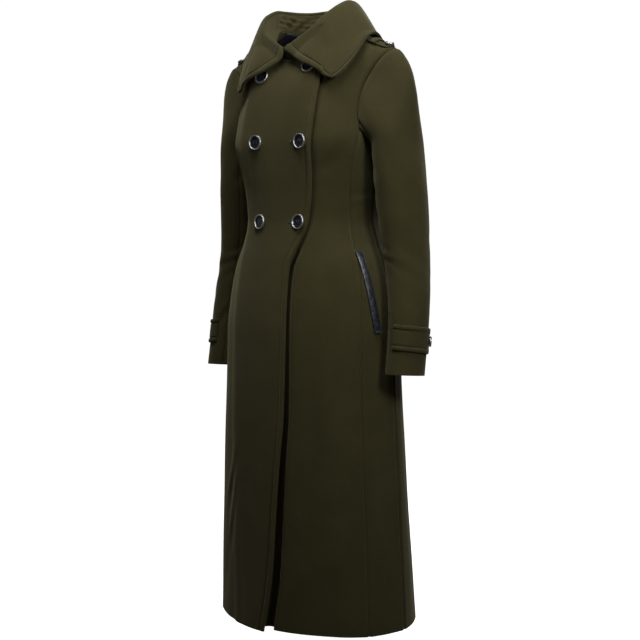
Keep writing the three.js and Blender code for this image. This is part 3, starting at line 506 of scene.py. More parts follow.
def closed_faces(rows, columns):
    """Faces of a wall of two grids and a middle loop round its edge."""
    grid = np.arange(rows * columns).reshape(rows, columns)
    a, b = grid[:-1, :-1].ravel(), grid[:-1, 1:].ravel()
    c, d = grid[1:, 1:].ravel(), grid[1:, :-1].ravel()
    count = rows * columns
    outer = np.stack([a, b, c, d], 1)
    inner = np.stack([a, d, c, b], 1) + count
    loop = np.concatenate([grid[0, :-1], grid[:-1, -1], grid[-1, :0:-1], grid[:0:-1, 0]])
    after = np.roll(loop, -1)
    middle = 2 * count + np.arange(len(loop))
    next_middle = np.roll(middle, -1)
    upper = np.stack([loop, middle, next_middle, after], 1)
    lower = np.stack([middle, loop + count, after + count, next_middle], 1)
    return np.concatenate([outer, inner, upper, lower]), loop


def wall_points(outer, inner, round_off):
    """Points of a wall, its edge rounded off by round_off."""
    rows, columns = outer.shape[:2]
    faces, loop = closed_faces(rows, columns)
    flat_outer, flat_inner = outer.reshape(-1, 3), inner.reshape(-1, 3)
    inside = np.clip(loop // columns, 1, rows - 2) * columns + np.clip(loop % columns, 1, columns - 2)
    away = unit(flat_outer[loop] - flat_outer[inside])
    middle = (flat_outer[loop] + flat_inner[loop]) / 2 + away * round_off
    return np.concatenate([flat_outer, flat_inner, middle]), faces


def turned_out(vertices, faces):
    """Faces wound so that they point out of the solid."""
    a, b, c, d = (vertices[faces[:, k]] for k in range(4))
    volume = (a * np.cross(b, c)).sum() + (a * np.cross(c, d)).sum()
    return faces[:, ::-1] if volume < 0 else faces


def put(name, data, place=(0, 0, 0), aim=None):
    """Puts an object into the scene, turned to look at a point if one is given."""
    thing = bpy.data.objects.new(name, data)
    thing.location = place
    if aim:
        thing.rotation_euler = (Vector(aim) - Vector(place)).to_track_quat("-Z", "Y").to_euler()
    bpy.context.collection.objects.link(thing)
    return thing


def smooth_mesh(name, vertices, faces, materials):
    mesh = bpy.data.meshes.new(name)
    mesh.from_pydata(vertices.tolist(), [], faces.tolist())
    mesh.polygons.foreach_set("use_smooth", [True] * len(mesh.polygons))
    for material in materials:
        mesh.materials.append(material)
    return mesh


def add_mesh(name, vertices, faces, materials, face_materials=None):
    mesh = smooth_mesh(name, vertices * MM, faces, materials)
    if face_materials is not None:
        mesh.polygons.foreach_set("material_index", face_materials)
    mesh.update()
    piece = put(name, mesh)
    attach(piece, "root")
    return piece


def add_cloth(node, outer, inner, material, slot="wool", round_off=0.0):
    """Closed wall of cloth between two grids, standing for a CAD node."""
    vertices, faces = wall_points(outer, inner, round_off)
    piece = add_mesh(node + "_cloth", vertices, turned_out(vertices, faces), [material])
    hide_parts(node)
    return piece


def spaced(start, end, step, fine_start=(), fine_end=()):
    """Places from start to end about a step apart, with finer ones given by distance from the ends."""
    low, high = min(start, end), max(start, end)
    first = fine_start[-1] if len(fine_start) else 0
    last = fine_end[-1] if len(fine_end) else 0
    count = max(2, int(round((high - low - first - last) / step)))
    body = np.linspace(low + first, high - last, count + 1)
    return np.unique(np.concatenate([[low + f for f in fine_start], body, [high - f for f in fine_end]]))


# Cloth of the body

BODY_ROWS = spaced(HEM_Z, ARMPIT_Z, 6.0, HEM_FINE)
UPPER_STEPS = np.linspace(0, 1, 42)[1:]
TOP_TRIM = TOP - SEAM_GAP / 2
ALL_ROWS = np.concatenate([BODY_ROWS, ARMPIT_Z + (RISE - 4.5) * UPPER_STEPS, [TOP - 3, TOP - 1.6, TOP_TRIM]])


def trim_angle(at):
    return np.degrees(SEAM_GAP / 2 / np.maximum(90, body_point(np.full_like(at, 90.0), at)[..., 0]))


def front_side_angle(at):
    return np.where(at <= ARMPIT_Z, curve(SIDE_FRONT_SEAM, 1, at), curve(ARMHOLE_FRONT, 1, at))


def back_side_angle(at):
    return np.where(at <= ARMPIT_Z, curve(SIDE_BACK_SEAM, 1, at), curve(ARMHOLE_BACK, 1, at))


def fractions_with_corner(width_mm, corner, fine_start):
    """Column fractions of a panel, one of them on the corner between neckline and shoulder."""
    first = spaced(0, corner * width_mm, GRID, fine_start)
    second = spaced(corner * width_mm, width_mm, GRID, (), SEAM_FINE)
    return np.concatenate([first, second[1:]]) / width_mm


def front_cloth(side, material):
    is_over = side < 0
    edge_level = np.minimum(EDGE_AT, -30.0)
    edge_table = np.interp(edge_level, EDGE_AT, -OVER_EDGE_ANGLE if is_over else UNDER_EDGE_ANGLE)
    top_edge = edge_table[-1]
    width_mm = 300.0 if is_over else 330.0
    corner = (NECK_ANGLE - top_edge) / (90 - top_edge)
    columns = fractions_with_corner(width_mm, corner, BEAD_FINE if is_over else SEAM_FINE)
    column, row = np.meshgrid(columns, ALL_ROWS)
    at = row.copy()
    if is_over:
        lap_end = -top_edge / (90 - top_edge)
        top = mix(LAP_TOP_AT, TOP_TRIM, ease(0, lap_end * 1.25, column))
        drawn = mix(ARMPIT_Z, top, (row - ARMPIT_Z) / (TOP_TRIM - ARMPIT_Z))
        at = np.where(row <= ARMPIT_Z, row, drawn)
    edge = np.interp(at, EDGE_AT, edge_table)
    angle = side * mix(edge, front_side_angle(row) - trim_angle(at), column)
    outer, normal = (over_skin if is_over else body_skin)(angle, at)
    if is_over:
        lift = over_lift(angle, at)
    else:
        beside = (angle - over_edge_angle(at)) * mm_per_degree(angle, at)
        skirt = mix(VALLEY_HIPS, VALLEY_HEM, ease(*SKIRT_DEEPENS, at))
        depth = mix(VALLEY_CHEST, skirt, ease(*WAIST_DEEPENS, at))
        lift = -depth * np.where(beside > 0, hump(beside, 0, VALLEY_WIDE), ease(-30, -10, beside))
        outer = raised(outer, normal, lift)
    inner = raised(body_point(angle, at), normal, lift - WALL)
    name, round_off = ("front_right", ROUND) if is_over else ("front_left", 0.0)
    return add_cloth(name, outer, inner, material, round_off=round_off)


def back_cloth(side, material):
    neck = spaced(0, 90, GRID, SEAM_FINE) / 90 * NECK_ANGLE / 90
    shoulder = mix(NECK_ANGLE / 90, 1, spaced(0, 150, GRID, (), SEAM_FINE) / 150)
    column, at = np.meshgrid(np.concatenate([neck, shoulder[1:]]), ALL_ROWS)
    angle = side * mix(180 - trim_angle(at), back_side_angle(at) + trim_angle(at), column)
    outer, normal = body_skin(angle, at)
    inner = body_point(angle, at) - normal * WALL
    return add_cloth("back_left" if side > 0 else "back_right", outer, inner, material)


def armpit_dip(angle):
    start, end = ARMHOLE_FRONT[0, 1], ARMHOLE_BACK[0, 1]
    return np.sin(np.pi * np.clip((angle - start) / (end - start), 0, 1))


def side_cloth(side, start_seam, end_seam, name, material):
    columns = spaced(0, 80, GRID, SEAM_FINE, SEAM_FINE) / 80
    column, row = np.meshgrid(columns, BODY_ROWS)
    start, end = curve(start_seam, 1, row) + trim_angle(row), curve(end_seam, 1, row) - trim_angle(row)
    turned = mix(start, end, column)
    top_angle = mix(curve(start_seam, 1, ARMPIT_Z), curve(end_seam, 1, ARMPIT_Z), column)
    at = row - ARMPIT_DIP * armpit_dip(top_angle) * ease(-350, ARMPIT_Z, row)
    outer, normal = body_skin(side * turned, at)
    return add_cloth(name, outer, body_point(side * turned, at) - normal * WALL, material)


# Sleeves

def armhole_loop():
    """The armhole's edge as a closed loop: down the front, under the arm and up the back."""
    up = ARMPIT_Z + RISE * np.arange(1, 32) / 32
    down = up[::-1]
    side = SIDE_SEAM[1, 1]
    under = np.unique(np.concatenate([
        np.linspace(ARMHOLE_FRONT[0, 1], side, 9), np.linspace(side, ARMHOLE_BACK[0, 1], 9),
    ]))
    angle = np.concatenate([[90], curve(ARMHOLE_FRONT, 1, down), under, curve(ARMHOLE_BACK, 1, up)])
    at = np.concatenate([[TOP_TRIM], down, ARMPIT_Z - ARMPIT_DIP * armpit_dip(under), up])
    places = body_point(angle, at)
    steps = np.linalg.norm(np.roll(places, -1, axis=0) - places, axis=1)
    lowest = 1 + len(down) + int(np.argmin(np.abs(under - side)))
    done = np.concatenate([[0], np.cumsum(steps)])[:-1]
    front, whole = done[lowest], steps.sum()
    turn = np.where(done <= front, 180 * done / front, 180 + 180 * (done - front) / (whole - front))
    return turn, angle, at


LOOP_TURN, LOOP_ANGLE, LOOP_AT = armhole_loop()


def armhole_spot(turn):
    turns = np.append(LOOP_TURN, 360)
    angle = np.interp(turn % 360, turns, np.append(LOOP_ANGLE, 90))
    return angle, np.interp(turn % 360, turns, np.append(LOOP_AT, TOP_TRIM))


def sleeve_ring(turn, z):
    slant = CUFF_SLANT * ease(-500, SLEEVE_END_Z, z) * sin_of(turn)
    x, y, out, along = (curve(SLEEVE_RINGS, k, z) for k in range(1, 5))
    return points(x + out * cos_of(turn), y - along * sin_of(turn), z + slant)


def head_direction(turn):
    c, s = cos_of(turn), sin_of(turn)
    top, under = np.maximum(0, c), np.maximum(0, -c)
    out = 0.95 * top + 0.5 * np.abs(s) * (1 - under) + 0.1 + 0.75 * under
    down = 0.6 * top + 0.85 * np.abs(s) + 0.65 * under
    return unit(points(out, -0.3 * s, -down))


def sleeve_point(turn, row):
    """Rows 0 to 1 make the head, rows 1 to 2 the arm."""
    turn, row = alike(turn, row)
    arm = sleeve_ring(turn, mix(SLEEVE_TOP_Z, SLEEVE_END_Z, np.maximum(row, 1) - 1))
    clear = (HEAD_GAP + HEAD_GAP_ENDS * np.abs(cos_of(turn)))[..., None]
    leave = head_direction(turn)
    start = body_point(*armhole_spot(turn)) + leave * clear
    end = sleeve_ring(turn, np.full_like(turn, SLEEVE_TOP_Z))
    span = np.linalg.norm(end - start, axis=-1, keepdims=True)
    arrive = unit(sleeve_ring(turn, np.full_like(turn, SLEEVE_TOP_Z - 6)) - end) * span
    head = hermite(start, leave * span, end, arrive, np.minimum(row, 1))
    return np.where((row >= 1)[..., None], arm, head)


def sleeve_normal(turn, row):
    turn, row = alike(turn, row)
    around = sleeve_point(turn + 1.5, row) - sleeve_point(turn - 1.5, row)
    down = sleeve_point(turn, np.minimum(2, row + 0.02)) - sleeve_point(turn, np.maximum(0, row - 0.02))
    normal = unit(np.cross(around, down))
    share = (ease(0.15, 0, row) * ease(0, 0.6, cos_of(turn)))[..., None]
    return unit(mix(normal, body_normal(*armhole_spot(turn)), share))


def sleeve_row(z):
    return 1 + (z - SLEEVE_TOP_Z) / (SLEEVE_END_Z - SLEEVE_TOP_Z)


def sleeve_relief(turn, row):
    z = mix(SLEEVE_TOP_Z, SLEEVE_END_Z, row - 1)
    level = np.where(row < 1, SLEEVE_TOP_Z + (1 - row) * HEAD_MM, z)
    scale = np.radians(1) * mix(52, 40, np.clip(row - 1, 0, 1))
    folds = crease_field(SLEEVE_CREASES, lambda place: ((turn - place + 180) % 360 - 180) * scale, level)
    both = (SLEEVE_FRONT_SEAM, SLEEVE_BACK_SEAM)
    seams = sum(groove((turn % 360 - seam) * scale, LIGHT_GROOVE) for seam in both)
    head_mm = np.minimum(row, 1) * HEAD_MM
    cap = CAP_SWELL * hump(head_mm, 9, 6) - hump(head_mm, 0, 2.4)
    slow = slow_wave(*SLEEVE_SLOW, turn, level)
    return seams + cap + folds * ease(0, 0.6, row) + slow * ease(0.1, 0.8, row)


def sleeve_skin(turn, row):
    normal = sleeve_normal(turn, row)
    return raised(sleeve_point(turn, row), normal, sleeve_relief(turn, row)), normal


def sleeve_cloth(side, start, end, name, material):
    trim = math.degrees(SEAM_GAP / 2 / SLEEVE_RINGS[0, 3])
    width_mm, long_mm = (end - start) * 0.78, SLEEVE_TOP_Z - SLEEVE_END_Z
    across = spaced(0, width_mm, GRID, SEAM_FINE, SEAM_FINE) / width_mm
    head = spaced(0, HEAD_MM, 6.0, SEAM_FINE) / HEAD_MM
    arm = 1 + spaced(0, long_mm, 6.0, (), HEM_FINE) / long_mm
    turns = start + trim + across * (end - start - 2 * trim)
    turn, row = np.meshgrid(turns, np.concatenate([head, arm[1:]]))
    outer, normal = sleeve_skin(turn, row)
    inner = sleeve_point(turn, row) - normal * WALL
    return add_cloth(name, *flipped(side, outer, inner), material)


def armhole_seam(side, name, material):
    """Turned-in edges of the body and the sleeve, behind the armhole's seam."""
    turn, reach = np.meshgrid(np.linspace(0.3, 359.7, 130), np.linspace(-6, 8, 8))
    spot = armhole_spot(turn)
    place = body_point(*spot) + head_direction(turn) * reach[..., None]
    normal = body_normal(*spot)
    outer, inner = flipped(side, place - normal * (WALL + 0.6), place - normal * (WALL + 1.8))
    vertices, faces = wall_points(outer, inner, 0)
    piece = add_mesh(f"armhole_seam_{name}", vertices, turned_out(vertices, faces), [material])
    return piece


# Collar

def collar_row(first, at):
    share = np.abs(at)
    side = np.where(at < 0, -1.0, 1.0)
    x, y, z = (curve(COLLAR, first + k, share) for k in range(3))
    return points(side * x, y, z)


def collar_foot(at):
    turned = curve(COLLAR, 1, np.abs(at))
    side = np.where(at < 0, -1.0, 1.0)
    foot = neck_point(turned) * points(side, 1, 1)
    angle = np.minimum(turned, 180 - turned) / 90 * NECK_ANGLE
    lift = np.where((at < 0) & (turned < 90), over_lift(-angle, np.full_like(angle, TOP - 4)), 0)
    return foot + points(0, -lift, lift * 0.6 + FOOT_GAP)


def stand_point(at, row):
    return mix(collar_foot(at), collar_row(2, at), row[..., None])


def stand_normal(at, row):
    across = stand_point(at + 0.01, row) - stand_point(at - 0.01, row)
    return unit(np.cross(across, collar_row(2, at) - collar_foot(at)))


def over_body(point):
    """Nearest place on the body to each point, with the height over the cloth there."""
    angle = np.degrees(np.arctan2(point[..., 0] / 150, -point[..., 1] / 120))
    at = np.minimum(point[..., 2], -20.0)
    for _ in range(12):
        here = body_point(angle, at)
        across = (body_point(angle + 0.5, at) - here) * 2
        upward = here - body_point(angle, at - 1)
        off = point - here
        aa, uu, au = (across**2).sum(-1), (upward**2).sum(-1), (across * upward).sum(-1)
        oa, ou = (off * across).sum(-1), (off * upward).sum(-1)
        share = aa * uu - au * au
        angle = angle + np.clip((oa * uu - ou * au) / share, -8, 8)
        at = np.minimum(at + np.clip((ou * aa - oa * au) / share, -25, 25), TOP - 1)
    normal = body_normal(angle, at)
    return angle, at, normal, ((point - body_point(angle, at)) * normal).sum(-1)


def fall_point(at, row):
    fold, rim = collar_row(2, at), collar_row(5, at)
    up = unit(fold - collar_foot(at))
    start = fold + up * FOLD_GAP - stand_normal(at, np.ones_like(at)) * COLLAR_WALL
    span = np.linalg.norm(rim - start, axis=-1, keepdims=True)
    point = hermite(start, up * FOLD_RISE * span, rim, unit(rim - fold) * RIM_PULL * span, row)
    moved = curve(LEAF_EDGE_SHARE, 1, row) * ease(0.62, 1, np.abs(at))
    inward = -np.sign(at) * np.where(at < 0, RIGHT_LEAF_EDGE[0], LEFT_LEAF_EDGE[0])
    down = -np.where(at < 0, RIGHT_LEAF_EDGE[1], LEFT_LEAF_EDGE[1])
    point = point + points(inward * moved, 0 * moved, down * moved)
    angle, level, normal, height = over_body(point)
    leaf = LEAF_CLEAR * ease(0.6, 0.85, np.abs(at))
    lap = np.where(at < 0, over_lift(angle, level), LAP_AMOUNT * ease(0, 0.3, at))
    need = np.maximum(0, COLLAR_CLEAR + leaf + lap - height) * ease(0.12, 0.22, row)
    return raised(point, normal, need)


def fall_normal(at, row):
    low = np.maximum(row, 0.02)
    across = fall_point(at + 0.01, low) - fall_point(at - 0.01, low)
    downward = fall_point(at, np.minimum(low + 0.02, 1)) - fall_point(at, low - 0.02)
    return unit(np.cross(across, downward))


def leaf_distances(at, row):
    """How far a place is from the leaf's front edge and from the rim."""
    return (1 - np.abs(at)) * LEAF_MM, (1 - row) * FALL_MM


def rounded_leaf(at, row):
    """Pulls the two points of the collar in, so that they are rounded."""
    to_front, to_rim = leaf_distances(at, row)
    pull = COLLAR_ROUND_PULL * hump(to_front, 0, COLLAR_ROUND) * hump(to_rim, 0, COLLAR_ROUND)
    return np.sign(at) * (np.abs(at) - pull / LEAF_MM), row - pull / FALL_MM


def fall_relief(at, row):
    to_front, to_rim = leaf_distances(at, row)
    bead = np.where(row > 0.1, stitched_edge(np.minimum(to_front, to_rim), COLLAR_BEAD), 0)
    arch = np.sin(np.pi * np.clip(row, 0, 1))
    crown = LEAF_CROWN * arch * np.sin(at * 9 + 0.6) * np.sin(at * 5 + 2)
    middle = LEAF_RIDGE_START - LEAF_RIDGE_SLOPE * (row - 0.1)
    ends = ease(0.05, 0.15, row) * ease(0.62, 0.5, row)
    ridge = np.where(at < 0, LEAF_RIDGE, 0) * hump(to_front, middle, LEAF_RIDGE_WIDE) * ends
    return bead + crown + ridge


def fall_skin(at, row, lift=0.0):
    placed = rounded_leaf(at, row)
    normal = fall_normal(*placed)
    return raised(fall_point(*placed), normal, COLLAR_WALL + fall_relief(at, row) + lift), normal


def mirrored_places(fine, half_mm, step):
    half = spaced(0, half_mm, step, (), fine) / half_mm
    return np.concatenate([-half[:0:-1], half])


def collar_cloth(material):
    rows = spaced(0, FALL_MM, 4.5, (), BEAD_FINE) / FALL_MM
    at, row = np.meshgrid(mirrored_places(BEAD_FINE, LEAF_MM, GRID), rows)
    outer = fall_skin(at, row)[0]
    add_cloth("collar_fall", outer, fall_point(*rounded_leaf(at, row)), material, round_off=ROUND)

    at, row = np.meshgrid(mirrored_places((), LEAF_MM, 4.0), np.linspace(-0.07, 1, 20))
    place, normal = stand_point(at, row), stand_normal(at, row)
    behind = ease(0.75, 0.3, np.abs(at)) * np.sin(np.pi * np.clip(row, 0, 1))
    folds = COLLAR_FOLDS * np.sin(at * 26 + row * 6) * np.sin(row * 7 + at * 11 + 0.5)
    crumple = behind * (folds + ripples(COLLAR_CRUMPLES, at, row) + COLLAR_PLUMP)
    closed = points(1 - 0.93 * ease(0.94, 1, np.abs(at)), 1, 1)
    outer, inner = raised(place, normal, crumple), place - normal * COLLAR_WALL
    add_cloth("collar_stand", outer * closed, inner * closed, material)


# Trims

def shoulder_skin(x, across, lift):
    t = (np.abs(x) - NECK_HALF) / (SHOULDER_HALF - NECK_HALF)
    turned = mix(NECK_ANGLE, 90, t)
    angle = np.sign(x) * np.where(across < 0, turned, 180 - turned)
    at = TOP - np.minimum(np.abs(across), RISE)
    return raised(body_point(angle, at), body_normal(angle, at), lift)


def epaulette_place(side, column, row):
    across = mix(-EPAULETTE_FRONT, EPAULETTE_BACK, row)
    reach = EPAULETTE_OUTER - EPAULETTE_POINT * (2 * row - 1) ** 2
    return side * mix(EPAULETTE_INNER, reach, column), across


def strap_grid(long_mm, wide_mm, step, row_step, fine_start, bead):
    """Columns and rows of a strap with one free end, and the height of its stitched edge."""
    columns = spaced(0, long_mm, step, fine_start, BEAD_FINE) / long_mm
    rows = spaced(0, wide_mm, row_step, BEAD_FINE, BEAD_FINE) / wide_mm
    column, row = np.meshgrid(columns, rows)
    edge = np.minimum((1 - column) * long_mm, np.minimum(row, 1 - row) * wide_mm)
    return column, row, stitched_edge(edge, bead)


def epaulette_cloth(side, name, material):
    column, row, puff = strap_grid(EPAULETTE_LONG, EPAULETTE_WIDE, 3.0, 3.0, (), EPAULETTE_BEAD)
    spot = epaulette_place(side, column, row)
    outer = shoulder_skin(*spot, EPAULETTE_GAP + TRIM_WALL + puff)
    return add_cloth(name, outer, shoulder_skin(*spot, EPAULETTE_GAP), material, round_off=ROUND)


def keeper_cloth(side, name, material):
    wide_mm = EPAULETTE_WIDE + 8
    column, row = np.meshgrid(np.linspace(0, 1, 12), spaced(0, wide_mm, 2.5) / wide_mm)
    across = mix(-EPAULETTE_FRONT - 4, EPAULETTE_BACK + 4, row)
    x = side * (KEEPER_X + (column - 0.5) * KEEPER_WIDTH)
    base = EPAULETTE_GAP + LAY_GAP + TRIM_WALL + 0.8
    puff = 0.9 * np.sin(np.pi * column) ** 0.6 + 0.9 * np.sin(np.pi * row) ** 0.5
    outer = shoulder_skin(x, across, base + TRIM_WALL + puff - 0.5)
    return add_cloth(name, outer, shoulder_skin(x, across, base), material, round_off=0.7)


def strap_skin(column, row, lift):
    end = ease(1 - 16 / STRAP_MM, 1, column)
    kept = mix(row, 0.5 + (row - 0.5) * 0.62, end)
    turn = mix(STRAP_FROM, STRAP_TO, column)
    z = STRAP_Z + (0.5 - kept) * STRAP_WIDTH - STRAP_SLANT * (column - 0.5)
    normal = sleeve_normal(turn, sleeve_row(z))
    relief = sleeve_relief(turn, sleeve_row(z)) * 0.6
    return raised(sleeve_point(turn, sleeve_row(z)), normal, relief + lift), normal


def strap_cloth(side, name, material):
    column, row, puff = strap_grid(STRAP_MM, STRAP_WIDTH, 3.5, 3.0, SEAM_FINE, STRAP_BEAD)
    outer = strap_skin(column, row, LAY_GAP + TRIM_WALL + puff)[0]
    inner = strap_skin(column, row, LAY_GAP)[0]
    return add_cloth(name, *flipped(side, outer, inner), material, round_off=ROUND)


def welt_skin(side, column, row, lift):
    half = math.degrees(POCKET_WIDTH / 2 / POCKET_RADIUS)
    angle = side * (mix(POCKET_TOP_ANGLE, POCKET_LOW_ANGLE, row) + (2 * column - 1) * half)
    at = mix(POCKET_TOP_Z, POCKET_LOW_Z, row)
    return raised(body_point(angle, at), body_normal(angle, at), lift)


def welt_leather(side, name, material):
    long_mm = POCKET_TOP_Z - POCKET_LOW_Z
    rows = spaced(0, long_mm, 3.0, WELT_FINE, WELT_FINE) / long_mm
    column, row = np.meshgrid(np.linspace(0, 1, 13), rows)
    ends = np.minimum(row, 1 - row) * long_mm
    crown = 1.1 * np.sin(np.pi * column) ** 0.7 * ease(0, 7, ends)
    wrinkle = 0.22 * np.sin(row * 61 + column * 3) * np.sin(row * 23 + 1) * np.sin(np.pi * column)
    outer = welt_skin(side, column, row, LAY_GAP + TRIM_WALL + crown + wrinkle)
    return add_cloth(name, outer, welt_skin(side, column, row, 0.2), material, "leather", 0.6)


def lining_cloth(side, name, material):
    columns = np.linspace(0, mix(NECK_ANGLE / 90, 1, 2 / 5), 44)
    rows = np.linspace(ARMPIT_Z + RISE * 3 / 8, ARMPIT_Z + RISE * 0.985, 26)
    column, at = np.meshgrid(columns, rows)
    angle = side * mix(180 - trim_angle(at), back_side_angle(at) + trim_angle(at), column)
    place, normal = body_point(angle, at), body_normal(angle, at)
    ripple = 0.5 * np.sin(column * 40 + at / 17) * np.sin(at / 29) - 0.5
    outer = place - normal * (WALL + LINING_GAP)
    inner = raised(place, normal, ripple - WALL - LINING_GAP - LINING_WALL)
    return add_cloth(name, outer, inner, material, "lining")


# Buttons

def lathe_points(profile, sides):
    """Rings of points of a round profile of radius and height, closed at both ends."""
    turn = np.linspace(0, 2 * np.pi, sides, endpoint=False)
    radius, height = np.array(profile).T
    return points(radius[:, None] * np.cos(turn), radius[:, None] * np.sin(turn), height[:, None])


def ring_faces(rows, sides):
    grid = np.arange(rows * sides).reshape(rows, sides)
    after = np.roll(grid, -1, axis=1)
    return np.stack([grid[:-1].ravel(), after[:-1].ravel(), after[1:].ravel(), grid[1:].ravel()], 1)


def seat(local, place, normal):
    """Turns points made round the Z axis to stand on a place of the cloth."""
    up = np.array([0.0, 0.0, 1.0])
    right = unit(np.cross(up, normal)) if abs(normal[2]) < 0.99 else np.array([1.0, 0.0, 0.0])
    way = np.cross(normal, right)
    return place + local[..., :1] * right + local[..., 1:2] * way + local[..., 2:] * normal


def tube(path, radius, sides=6):
    """Small closed tube along a list of points."""
    way = unit(np.gradient(path, axis=0))
    side = unit(np.cross(way, np.array([0.31, 0.83, 0.46])))
    up = np.cross(side, way)
    turn = np.linspace(0, 2 * np.pi, sides, endpoint=False)[:, None]
    taper = np.full(len(path), radius)
    taper[[0, -1]] = radius * 0.25
    around = np.cos(turn) * side[:, None] + np.sin(turn) * up[:, None]
    rings = path[:, None] + taper[:, None, None] * around
    return rings.reshape(-1, 3), ring_faces(len(path), sides)


def joined(parts):
    """One mesh of several, and how many faces each of them gave."""
    starts = np.cumsum([0] + [len(vertices) for vertices, faces in parts])
    all_faces = np.concatenate([faces + start for (vertices, faces), start in zip(parts, starts)])
    return np.concatenate([vertices for vertices, faces in parts]), all_faces, [len(f) for v, f in parts]


def button_piece(node, radius, height, place, normal, materials):
    parts = []
    for profile in (RIM_PROFILE, FACE_PROFILE):
        rings = lathe_points(np.array(profile) * (radius, height), BUTTON_SIDES)
        parts.append((seat(rings, place, normal).reshape(-1, 3), ring_faces(len(profile), BUTTON_SIDES)))
    across = np.linspace(-1, 1, 7)
    rise = height * (0.5 + 0.13 * (1 - across**2))
    for hole in (-0.2 * radius, 0.2 * radius):
        for shift in (-0.385, 0, 0.385):
            path = points(hole + shift, across * radius * 0.23, rise)
            parts.append(tube(seat(path, place, normal), radius * 0.035))
    vertices, faces, counts = joined(parts)
    numbers = np.repeat([0, 1] + [2] * 6, counts)
    piece = add_mesh(node + "_button", vertices, faces, materials, numbers)
    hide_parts(node)
    return piece


# Sewing

def stitches(path, normals):
    """Short stitches along a path, each one diving into the cloth at its ends."""
    lengths = np.concatenate([[0], np.cumsum(np.linalg.norm(np.diff(path, axis=0), axis=1))])
    places = np.arange(0, lengths[-1], STITCH_STEP)
    middles, ups = (
        np.stack([np.interp(places, lengths, values[:, k]) for k in range(3)], 1)
        for values in (path, normals)
    )
    ways = unit(np.gradient(middles, axis=0))
    return [
        tube(middle + way * STITCH_RUN[:, :1] + up * STITCH_RUN[:, 1:], STITCH_THICK, 5)
        for middle, up, way in list(zip(middles, unit(ups), ways))[1:-1]
    ]


def sewn_piece(name, parts, material):
    vertices, faces, counts = joined(parts)
    add_mesh(name, vertices, faces, [material])


def front_edge_stitches():
    at = np.linspace(HEM_Z + 4, LAP_TOP_AT - 6, 500)
    edge = over_edge_angle(at)
    return stitches(*over_skin(edge - STITCH_INSET / mm_per_degree(edge, at), at))


def collar_stitches():
    inset_at, inset_row = 1 - STITCH_INSET / LEAF_MM, 1 - STITCH_INSET / FALL_MM
    up = np.linspace(0.14, inset_row, 60)
    across = np.linspace(-inset_at, inset_at, 260)
    at = np.concatenate([np.full(60, -inset_at), across, np.full(60, inset_at)])
    row = np.concatenate([up, np.full(260, inset_row), up[::-1]])
    return stitches(*fall_skin(at, row))


def strap_line(start, long_mm, wide_mm, inset, count):
    """Columns and rows of a line of stitches along a strap, round its end and back."""
    low, high, end = inset / wide_mm, 1 - inset / wide_mm, 1 - inset / long_mm
    out = np.linspace(start, end, count)
    column = np.concatenate([out, np.full(12, end), out[::-1]])
    row = np.concatenate([np.full(count, low), np.linspace(low, high, 12), np.full(count, high)])
    return column, row


def strap_stitches(side):
    line = strap_line(0.01, STRAP_MM, STRAP_WIDTH, STRAP_BEAD[2], 60)
    return stitches(*flipped(side, *strap_skin(*line, LAY_GAP + TRIM_WALL - 1.3)))


def epaulette_stitches(side):
    line = strap_line(0.02, EPAULETTE_LONG, EPAULETTE_WIDE, EPAULETTE_BEAD[2], 40)
    spot = epaulette_place(side, *line)
    path = shoulder_skin(*spot, EPAULETTE_GAP + TRIM_WALL - 1)
    return stitches(path, unit(shoulder_skin(*spot, EPAULETTE_GAP + TRIM_WALL) - path))


def welt_tacks(side):
    """Bars of black thread across both ends of a welt."""
    column = np.linspace(-0.04, 1.04, 9)
    lift = LAY_GAP + TRIM_WALL + 0.5 - 2.4 * np.abs(2 * column - 1) ** 6
    near = np.array(WELT_TACKS) / WELT_MM
    ends = np.concatenate([near, 1 - near[::-1]])
    return [tube(welt_skin(side, column, np.full(9, end), lift), 0.75) for end in ends]


def buttonhole(x, z):
    """Worked buttonhole on the front that lies over: a ring of close stitches round a slit. The slit is a
    black tube on the closed cloth, painted shade for its dark opening.
    """
    half, round_end = BUTTONHOLE_LONG / 2, BUTTONHOLE_WIDE / 2
    turn = np.linspace(0, 2 * np.pi, 56)
    straight = np.sign(np.cos(turn)) * np.minimum(1, np.abs(np.cos(turn)) * 1.6)
    ring_x = x + (half - round_end) * straight + round_end * np.cos(turn)
    ring_z = z + round_end * np.sin(turn)
    slit_z = np.full(14, float(z))
    slit_angle = angle_at_x(np.linspace(x - half + 2, x + half - 2, 14), slit_z)
    ring = over_skin(angle_at_x(ring_x, ring_z), ring_z, 0.15)[0]
    return tube(ring, 0.75), tube(over_skin(slit_angle, slit_z, -0.1)[0], 0.9)


# Materials

EVEN = (1, 1, 1)
NOISE = "ShaderNodeTexNoise"
GRAIN_SOCKETS = [
    ("Scale", "Float", 1), ("Stretch", "Vector", EVEN), ("Detail", "Float", 2), ("Distortion", "Float", 0),
]


def node_of(tree, kind, sockets=(), **values):
    """A node with its own settings, and with values on its sockets."""
    node = tree.nodes.new(kind)
    for name, value in values.items():
        setattr(node, name, value)
    for name, value in dict(sockets).items():
        node.inputs[name].default_value = value
    return node


def wire(tree, *links):
    """Links from a node's output to a node's input."""
    for start, out, end, into in links:
        tree.links.new(start.outputs[out], end.inputs[into])


def new_group(name, inputs, outputs):
    """A shader node group with its sockets, and the nodes that hold its inputs and outputs."""
    group = bpy.data.node_groups.new(name, "ShaderNodeTree")
    for socket, kind, value in inputs:
        given = group.interface.new_socket(socket, in_out="INPUT", socket_type=f"NodeSocket{kind}")
        given.default_value = value
    for socket in outputs:
        group.interface.new_socket(socket, in_out="OUTPUT", socket_type="NodeSocketFloat")
    return group, node_of(group, "NodeGroupInput"), node_of(group, "NodeGroupOutput")


